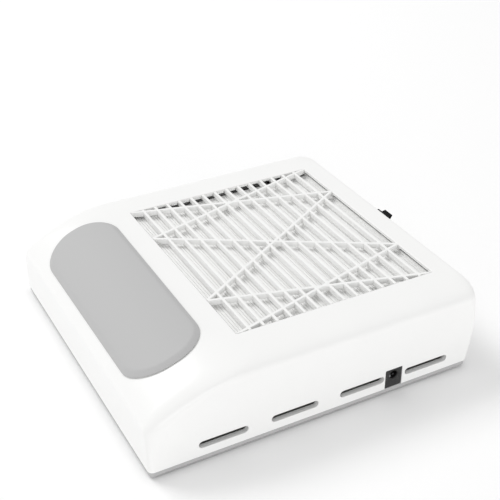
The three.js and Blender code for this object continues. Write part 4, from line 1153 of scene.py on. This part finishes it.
ferrite, tree, shader = finish("bonded_ferrite", "2A2A2C", 0.85)
clouded(tree, shader, POWDER, 2, ("232325", "343437"))
magnet = turned_ring("magnet_ring", ring_loop(MAGNET_INNER, MAGNET_OUTER, MAGNET_BOTTOM, hub_roof - FIT_GAP,
                                              MAGNET_EDGE), HUB_SIDES)
fitted(settled_at_fan(magnet), ferrite, "black_rubber", "impeller", "rotor_magnet")


# Shaft and bearings: a ground steel shaft with a retaining groove at its foot, turning in two
# shielded steel bearings in the frame's tube.
SHAFT_FOOT = 1.45
SHAFT_CHAMFER = 0.3
BEARING_HEIGHT = 4
BEARING_CHAMFER = 0.15
RACE_WALL = 0.6
SHIELD_DEPTH = 0.25
GROOVE = 0.25
GROOVE_START = 1.2
GROOVE_END = 1.8
shaft_top = hub_roof - FIT_GAP
shaft = lathe("rotor_shaft", [
    (0, SHAFT_FOOT), (SHAFT_RADIUS - SHAFT_CHAMFER, SHAFT_FOOT), (SHAFT_RADIUS, SHAFT_FOOT + SHAFT_CHAMFER),
    (SHAFT_RADIUS, SHAFT_FOOT + GROOVE_START), (SHAFT_RADIUS - GROOVE, SHAFT_FOOT + GROOVE_START),
    (SHAFT_RADIUS - GROOVE, SHAFT_FOOT + GROOVE_END), (SHAFT_RADIUS, SHAFT_FOOT + GROOVE_END),
    (SHAFT_RADIUS, shaft_top - SHAFT_CHAMFER), (SHAFT_RADIUS - SHAFT_CHAMFER, shaft_top), (0, shaft_top)],
    ROUND_SIDES)
fitted(settled_at_fan(shaft), steel, "steel", "impeller", "fan_shaft")
bearing_inner = SHAFT_RADIUS + FIT_GAP
# The lower half of a bearing's section as (radius, depth); the upper half is its mirror image
half_section = [
    (bearing_inner, BEARING_CHAMFER), (bearing_inner + BEARING_CHAMFER, 0), (bearing_inner + RACE_WALL, 0),
    (bearing_inner + RACE_WALL, SHIELD_DEPTH), (BEARING_RADIUS - RACE_WALL, SHIELD_DEPTH),
    (BEARING_RADIUS - RACE_WALL, 0), (BEARING_RADIUS - BEARING_CHAMFER, 0), (BEARING_RADIUS, BEARING_CHAMFER)]
for name, z in (("lower", SHAFT_FOOT), ("upper", TUBE_TOP - FIT_GAP - BEARING_HEIGHT)):
    loop = [(r, z + depth) for r, depth in half_section]
    loop += [(r, z + BEARING_HEIGHT - depth) for r, depth in reversed(half_section)]
    bearing = turned_ring(f"{name}_bearing", loop, ROUND_SIDES)
    fitted(settled_at_fan(bearing), steel, "steel", "housing", f"fan_bearing_{name}")


# Stator: a stack of steel laminations with four poles, each wound with enamelled copper wire. The
# wire is 0.25 mm thick, drawn as 0.5 mm turns so that they show.
STATOR_OUTER = 15.8
STATOR_BOTTOM = 5.3
STATOR_TOP = 16.3
CORE_BOTTOM = 7.6
CORE_TOP = 14
STATOR_SLOT = 3
SHOE_DEPTH = 1.6
COIL_WIDTH = 9.4
COIL_CORNER = 1.2
COIL_ARC = 4
COIL_START = 7.2
COIL_GAP = 0.05
COIL_ROUND = [(0, 1.0), (0.3, 0.4), (1.0, 0)]
SLOT_START = 8.5
SHEET_EDGE = 0.1
WIRE = 0.5 * MM
WIRE_RISE = 0.1 * MM
POLES = 4
core_loop = ring_loop(TUBE_RADIUS + FIT_GAP, STATOR_OUTER, CORE_BOTTOM, CORE_TOP, SHEET_EDGE)
stator_core = turned_ring("stator_laminations", core_loop, HUB_SIDES)
mouths = [block("mouth", SLOT_START, STATOR_OUTER + OVERRUN, -STATOR_SLOT / 2, STATOR_SLOT / 2,
                CORE_BOTTOM - OVERRUN, CORE_TOP + OVERRUN) for i in range(POLES)]
for i, mouth in enumerate(mouths):
    mouth.data.transform(Matrix.Rotation((i + 0.5) / POLES * math.tau, 4, "Z"))
cut(stator_core, *mouths)
fitted(settled_at_fan(stator_core), steel, "copper", "housing", "fan_stator")

copper, tree, shader = finish("enamelled_copper_wire", "B8683A", 0.35, metallic=1.0)
place = add_node(tree, "ShaderNodeTexCoord").outputs["Object"]
wires = add_node(tree, "ShaderNodeTexWave", {"bands_direction": "Z"}, {
    "Vector": place, "Scale": 1 / WIRE / math.tau, "Distortion": 0.4, "Detail": 1})
bump = add_node(tree, "ShaderNodeBump", None, {
    "Height": wires.outputs["Fac"], "Strength": 0.6, "Distance": WIRE_RISE})
tree.links.new(bump.outputs["Normal"], shader.inputs["Normal"])


def coil_end(steps):
    """The part of a winding that stands out of the laminations, from (height, inset) steps"""
    reach = STATOR_OUTER - SHOE_DEPTH
    middle, length = (COIL_START + reach) / 2, reach - COIL_START
    return stack("coil", [
        (rounded(middle, 0, length - inset, COIL_WIDTH - inset * 2, COIL_CORNER, COIL_ARC), z)
        for z, inset in steps])


lower_coil = coil_end([(STATOR_BOTTOM + depth, inset) for depth, inset in COIL_ROUND]
                      + [(CORE_BOTTOM - COIL_GAP, 0)])
upper_coil = coil_end([(CORE_TOP + COIL_GAP, 0)]
                      + [(STATOR_TOP - depth, inset) for depth, inset in reversed(COIL_ROUND)])
windings = repeated("stator_windings", merged([lower_coil, upper_coil]),
                    [((0, 0, 0), (0, 0, i / POLES * math.tau)) for i in range(POLES)], copper)
fitted(settled_at_fan(windings), copper, "copper", "housing", "fan_stator")


# Rocker switch: a black snap-in switch of the usual 15 by 21 mm kind in the middle of the back. Its
# bezel lies on the wall and its body passes through it. Its glass-filled nylon is deep black and
# duller than the other plastics.
black_nylon, tree, shader = finish("glass_filled_black_nylon", "08080A", 0.6)
shader.inputs["Specular IOR Level"].default_value = 0.12
clouded(tree, shader, MOTTLE, 2, ("09090A", "101011"))
SWITCH_BEZEL_WIDTH = 15
SWITCH_BEZEL_HEIGHT = 21
SWITCH_BEZEL_THICKNESS = 2
SWITCH_BEZEL_EDGE = 0.6
SWITCH_BODY_DEPTH = 9.4
SWITCH_BODY_EDGE = 0.4
SWITCH_BACK_WALL = 1
WINDOW_CHAMFER = 0.3
SWITCH_CORNER = 0.5
SWITCH_LEAST_CORNER = 0.2
SMALL_ARC = 5
ROCKER_WINDOW_WIDTH = 11.2
ROCKER_WINDOW_HEIGHT = 17.2
bezel_face = FIT_GAP + SWITCH_BEZEL_THICKNESS


def back_slab(name, width, height, radius, stations):
    """Rounded plate on the back wall, from (distance outside the wall, inset) stations"""
    rings = []
    for reach, inset in stations:
        outline = rounded(0, SWITCH_Z, width - inset * 2, height - inset * 2,
                          max(radius - inset, SWITCH_LEAST_CORNER), SMALL_ARC)
        rings.append([(x, SWITCH_BACK + reach, z) for x, z in reversed(outline)])
    return loft(name, rings)


switch_case = back_slab(
    "switch_case", SWITCH_BEZEL_WIDTH, SWITCH_BEZEL_HEIGHT, SWITCH_CORNER * 2,
    [(FIT_GAP, 0)] + [(bezel_face - depth, growth) for depth, growth in lip_steps(SWITCH_BEZEL_EDGE)])
join(switch_case, back_slab(
    "body", SWITCH_BODY_WIDTH, SWITCH_BODY_HEIGHT, SWITCH_CORNER,
    [(-SWITCH_BODY_DEPTH, SWITCH_BODY_EDGE), (SWITCH_BODY_EDGE - SWITCH_BODY_DEPTH, 0), (FIT_GAP * 2, 0)]))
cut(switch_case, back_slab(
    "rocker_window", ROCKER_WINDOW_WIDTH, ROCKER_WINDOW_HEIGHT, SWITCH_CORNER,
    [(SWITCH_BACK_WALL - SWITCH_BODY_DEPTH, 0), (bezel_face - WINDOW_CHAMFER, 0),
     (bezel_face, -WINDOW_CHAMFER), (bezel_face + OVERRUN, -WINDOW_CHAMFER)]))
fitted(settle(switch_case), black_nylon, "black_abs", "housing", "switch_housing")


# Rocker: a dished key on a level pivot just inside the back wall, with its lower end out at rest
# and its edges rounded for the fingertip.
ROCKER_PIVOT_INSET = 1.5
ROCKER_TILT = math.radians(12)
ROCKER_HALF_HEIGHT = 7.3
ROCKER_REACH = 10.5
ROCKER_DISH = 4.6
ROCKER_DEPTH = 3
ROCKER_FOOT_HALF = 4.6
ROCKER_EDGE = 0.55
ROCKER_STEPS = 20
DISH_POWER = 1.2
heights = [ROCKER_HALF_HEIGHT * (2 * i / ROCKER_STEPS - 1) for i in range(ROCKER_STEPS + 1)]
dish = [(ROCKER_DISH + (ROCKER_REACH - ROCKER_DISH) * abs(h / ROCKER_HALF_HEIGHT) ** DISH_POWER, h)
        for h in heights]
rocker_outline = [(-ROCKER_DEPTH, -ROCKER_FOOT_HALF), (0, -ROCKER_HALF_HEIGHT), *dish,
                  (0, ROCKER_HALF_HEIGHT), (-ROCKER_DEPTH, ROCKER_FOOT_HALF)]
rocker_half = ROCKER_WINDOW_WIDTH / 2 - FIT_GAP
rocker = loft("rocker_key", [[(x, y, z) for y, z in rocker_outline] for x in (-rocker_half, rocker_half)])
softened(rocker, ROCKER_EDGE, segments=4, angle=35)
baked(rocker)
rocker.data.transform(Matrix.Translation((0, SWITCH_BACK - ROCKER_PIVOT_INSET, SWITCH_Z))
                      @ Matrix.Rotation(ROCKER_TILT, 4, "X"))
fitted(settle(rocker), black_nylon, "black_abs", "rocker", "switch_rocker")


# Switch terminals: two stamped brass blades with chamfered tips and a hole for the solder. Brass is
# warm and slightly dulled by its rolling skin.
TERMINAL_WIDTH = 4
TERMINAL_THICKNESS = 0.8
TERMINAL_LENGTH = 7
TERMINAL_SPREAD = 3.4
TERMINAL_HOLE = 0.7
TERMINAL_TIP = 1.0
TERMINAL_HOLE_FROM_TIP = 2
ROLLING = 1.5 * MM
brass, tree, shader = finish("stamped_brass", "C8A24C", 0.32, metallic=1.0)
clouded(tree, shader, ROLLING, 2, dulled=(0.24, 0.42))
half_width, half_thickness = TERMINAL_WIDTH / 2, TERMINAL_THICKNESS / 2
blade_outline = [(TERMINAL_TIP - half_width, -TERMINAL_LENGTH), (half_width - TERMINAL_TIP, -TERMINAL_LENGTH),
                 (half_width, TERMINAL_TIP - TERMINAL_LENGTH), (half_width, 0), (-half_width, 0),
                 (-half_width, TERMINAL_TIP - TERMINAL_LENGTH)]
terminal = loft("terminal", [[(x, y, z) for x, z in reversed(blade_outline)]
                             for y in (-half_thickness, half_thickness)])
hole = column("hole", TERMINAL_HOLE, -OVERRUN, OVERRUN, HOLE_SIDES)
hole.data.transform(Matrix.Translation((0, 0, TERMINAL_HOLE_FROM_TIP - TERMINAL_LENGTH))
                    @ Matrix.Rotation(math.pi / 2, 4, "X"))
cut(terminal, hole)
terminal_roots = [(side * TERMINAL_SPREAD, SWITCH_BACK - (WALL + SWITCH_BODY_DEPTH) / 2,
                   SWITCH_Z - SWITCH_BODY_HEIGHT / 2 - FIT_GAP) for side in (-1, 1)]
terminals = repeated("switch_terminals", terminal, [(root, (0, 0, 0)) for root in terminal_roots], brass)
fitted(settle(terminals), brass, "brass", "housing", "switch_terminal_1", "switch_terminal_2")


# Power socket: a black block in a notch of the right wall, with a chamfered round bore, a spring
# contact at the side of the bore and a plated centre pin. It is soldered to its board.
JACK_SETBACK = 0.3
JACK_EDGE = 0.5
JACK_BORE_Z = JACK_BOTTOM + 10
JACK_BORE = 3.3
JACK_BORE_DEPTH = 9.5
JACK_MOUTH = 4
JACK_MOUTH_DEPTH = 0.7
JACK_PIN = 1.05
BORE_SIDES = 48
PIN_END = -1
# The pin's rounded tip as (share of its radius, height)
PIN_TIP = [(1, -1.45), (0.9, -1.2), (0.6, -1.04)]
CONTACT_WIDTH = 1.9
CONTACT_THICKNESS = 0.5
CONTACT_EDGE = 0.2
# The contact's bow, from the back of the bore outwards, as (depth below the face, rise off the bore)
CONTACT_BOW = [(8.5, 0.1), (4, 0.7), (2.2, 1.1), (1.0, 0.9), (0.3, 0.35), (0.1, -0.35)]
jack_face = HALF_WIDTH - JACK_SETBACK
TO_BORE = Matrix.Translation((jack_face, JACK_Y, JACK_BORE_Z)) @ Matrix.Rotation(math.pi / 2, 4, "Y")


def in_bore(name, profile, sides=BORE_SIDES):
    """Round form on the bore's axis; heights are measured outwards from the socket's face"""
    made = lathe(name, profile, sides)
    made.data.transform(TO_BORE)
    return made


jack_rings = []
for reach, inset in [(-JACK_DEPTH, 0)] + [(-depth, growth) for depth, growth in lip_steps(JACK_EDGE)]:
    outline = rounded(JACK_Y, JACK_BOTTOM + JACK_HEIGHT / 2, JACK_WIDTH - inset * 2, JACK_HEIGHT - inset * 2,
                      JACK_CORNER, SMALL_ARC)
    jack_rings.append([(jack_face + reach, y, z) for y, z in outline])
socket = cut(loft("power_socket", jack_rings), in_bore("socket_bore", [
    (0, -JACK_BORE_DEPTH), (JACK_BORE, -JACK_BORE_DEPTH), (JACK_BORE, -JACK_MOUTH_DEPTH), (JACK_MOUTH, 0),
    (JACK_MOUTH, OVERRUN), (0, OVERRUN)]))
fitted(settle(socket), black_abs, "black_abs", "housing", "dc_jack")

contact_points = [(jack_face - depth, JACK_Y - JACK_BORE + bow, JACK_BORE_Z) for depth, bow in CONTACT_BOW]
contact = bars_on("socket_contact", [contact_points], CONTACT_THICKNESS, CONTACT_WIDTH, CONTACT_EDGE, steel)

# Centre pin plating: a smoky dark grey, a little duller than bright nickel; its darkness is painted shade,
# for the dark deep in the socket's bore
pin_painted_bore_shade, tree, shader = finish("black_nickel_plating", "3C3C3E", 0.36, metallic=1.0)
clouded(tree, shader, STREAK, 2, dulled=(0.3, 0.44))
# The pin takes this darkened plating: painted shade for the bore's depth
pin = in_bore("socket_pin", [
    (0, FIT_GAP - JACK_BORE_DEPTH), (JACK_PIN, FIT_GAP - JACK_BORE_DEPTH),
    *[(JACK_PIN * share_of_pin, z) for share_of_pin, z in PIN_TIP], (0, PIN_END)], ROUND_SIDES)
fitted(settle(pin), pin_painted_bore_shade, "steel", "housing", "dc_jack_pin")
fitted(settle(contact), steel, "steel", "housing")


# Socket board: a small glass-fibre board that lies on the base and carries the socket, with two
# fixing holes. Its green lacquer is glossy, and the weave below shows through it as a fine check.
BOARD_LEFT = 93.4
BOARD_RIGHT = 120.4
BOARD_WIDTH = 22
BOARD_BOTTOM = 4.4
BOARD_TOP = 6
BOARD_CORNER = 1
BOARD_HOLE = 1.2
BOARD_HOLE_INSET = 3
WEAVE = 1.2 * MM
board_green, tree, shader = finish("lacquered_glass_fibre", "1F5C38", 0.28, ior=1.55)
place = add_node(tree, "ShaderNodeTexCoord").outputs["Object"]
weave = add_node(tree, "ShaderNodeTexVoronoi", {"distance": "CHEBYCHEV"}, {
    "Vector": place, "Scale": 1 / WEAVE, "Randomness": 0.0})
tone = add_node(tree, "ShaderNodeMix", {"data_type": "RGBA"}, {
    "Factor": weave.outputs["Distance"], "A": linear("1B5433"), "B": linear("25683F")})
tree.links.new(tone.outputs["Result"], shader.inputs["Base Color"])
board = slab("socket_board", rounded((BOARD_LEFT + BOARD_RIGHT) / 2, JACK_Y, BOARD_RIGHT - BOARD_LEFT,
                                     BOARD_WIDTH, BOARD_CORNER, SMALL_ARC), BOARD_BOTTOM, BOARD_TOP)
board_holes = [(BOARD_LEFT + BOARD_HOLE_INSET, JACK_Y + side * (BOARD_WIDTH / 2 - BOARD_HOLE_INSET))
               for side in (-1, 1)]
cut(board, *columns("hole", board_holes, BOARD_HOLE, BOARD_BOTTOM - OVERRUN, BOARD_TOP + OVERRUN,
                    SCREW_SIDES))
fitted(settle(board), board_green, "board_green", "housing", "jack_board")


# Internal leads: three PVC-sleeved wires that link the socket, the switch and the fan. They lie on
# the base along its edge and are fixed at both ends. PVC is satin, with a faint mottle.
LEAD_RADIUS = 0.9
LEAD_SIDES = 14
LEAD_STEPS = 10
socket_place = (jack_face, JACK_Y, JACK_BOTTOM)
corner_place = (HALF_WIDTH - WALL, HALF_DEPTH - WALL, FLOOR_TOP)
wall_place = (0, HALF_DEPTH - WALL, FLOOR_TOP)
fan_place = (0, INTAKE_MIDDLE, FAN_BOTTOM)
up_to_terminal = [(0, -4, -14 - TERMINAL_LENGTH), (0, 0, -0.5 - TERMINAL_LENGTH)]


def away_from(place, steps):
    return [Vector(place) + Vector(step) for step in steps]


def smooth_route(points):
    """Centripetal curve through every point, as the wire bends"""
    ends = [points[0] * 2 - points[1], *points, points[-1] * 2 - points[-2]]
    route = []
    for a, b, c, d in zip(ends, ends[1:], ends[2:], ends[3:]):
        t1 = math.sqrt((b - a).length)
        t2 = t1 + math.sqrt((c - b).length)
        t3 = t2 + math.sqrt((d - c).length)
        for i in range(LEAD_STEPS):
            t = t1 + (t2 - t1) * i / LEAD_STEPS
            ab = a.lerp(b, t / t1)
            bc = b.lerp(c, (t - t1) / (t2 - t1))
            cd = c.lerp(d, (t - t2) / (t3 - t2))
            before, after = ab.lerp(bc, t / t2), bc.lerp(cd, (t - t1) / (t3 - t1))
            route.append(before.lerp(after, (t - t1) / (t2 - t1)))
    return route + [points[-1]]


sleeve_tree, given = node_tree("sleeve_along_path", ("Radius", "Float"), ("Sides", "Int"),
                               ("Material", "Material"))
line = add_node(sleeve_tree, "GeometryNodeMeshToCurve", None, {"Mesh": given["Geometry"]})
ring = add_node(sleeve_tree, "GeometryNodeCurvePrimitiveCircle", None, {
    "Resolution": given["Sides"], "Radius": given["Radius"]})
sleeve = add_node(sleeve_tree, "GeometryNodeCurveToMesh", None, {
    "Curve": line.outputs["Curve"], "Profile Curve": ring.outputs["Curve"], "Fill Caps": True})
tree_end(sleeve_tree, given, sleeve.outputs["Mesh"])

PVC_MOTTLE = 1.5 * MM


def pvc(name, dark, light):
    made, tree, shader = finish(name, light, 0.4, ior=1.54)
    clouded(tree, shader, PVC_MOTTLE, 2, (dark, light))
    return made


red_sleeve = pvc("red_pvc_sleeve", "971A1C", "AE2224")
black_sleeve = pvc("black_pvc_sleeve", "141415", "1E1E1F")
from_socket_back = away_from(socket_place, [(-14.4, 3.3, 7.7), (-18.7, 6.8, 5.7)])
from_socket_front = away_from(socket_place, [(-14.4, -3.7, 7.7), (-18.7, -7.7, 5.7), (-26.7, -17.2, 0.7)])
round_corner = away_from(corner_place, [
    (-13.6, -40.6, 2.8), (-12.6, -24.6, 1.6), (-15.6, -9.6, 1.6), (-26.6, -4.3, 1.6)])
along_back = away_from(wall_place, [(54.8, -4, 1.6), (30.8, -3.9, 1.8), (14.8, -3.7, 4), (4.8, -3.6, 11)])
down_to_fan = away_from(wall_place, [(-5.2, -4.3, 9), (-7.2, -12.6, 3.4)])
under_fan = away_from(fan_place, [
    (-4, 64.5, -7.9), (-7, 44.5, -8.1), (-9, 28, -7.7), (-10, 16.5, -4.2), (-10, 10, -1.4)])
right_of_fan = away_from(fan_place, [
    (84, 0.5, -8.1), (60, -3.5, -8.1), (34, -2.5, -7.2), (18, -0.5, -3.2), (11, 0, -1.4)])
down_from_switch = away_from(terminal_roots[0], up_to_terminal)[::-1]
leads = [
    ("socket_to_switch", red_sleeve, "red_sleeve",
     from_socket_back + round_corner + along_back + away_from(terminal_roots[1], up_to_terminal)),
    ("switch_to_fan", red_sleeve, "red_sleeve", down_from_switch + down_to_fan + under_fan),
    ("socket_to_fan", black_sleeve, "black_sleeve", from_socket_front + right_of_fan)]
for name, material, slot, points in leads:
    sleeve = grown(paths(f"wire_{name}", [smooth_route(points)]), sleeve_tree, radius=LEAD_RADIUS,
                   sides=LEAD_SIDES, material=material)
    fitted(settle(sleeve), material, slot, "housing", f"lead_{name}")
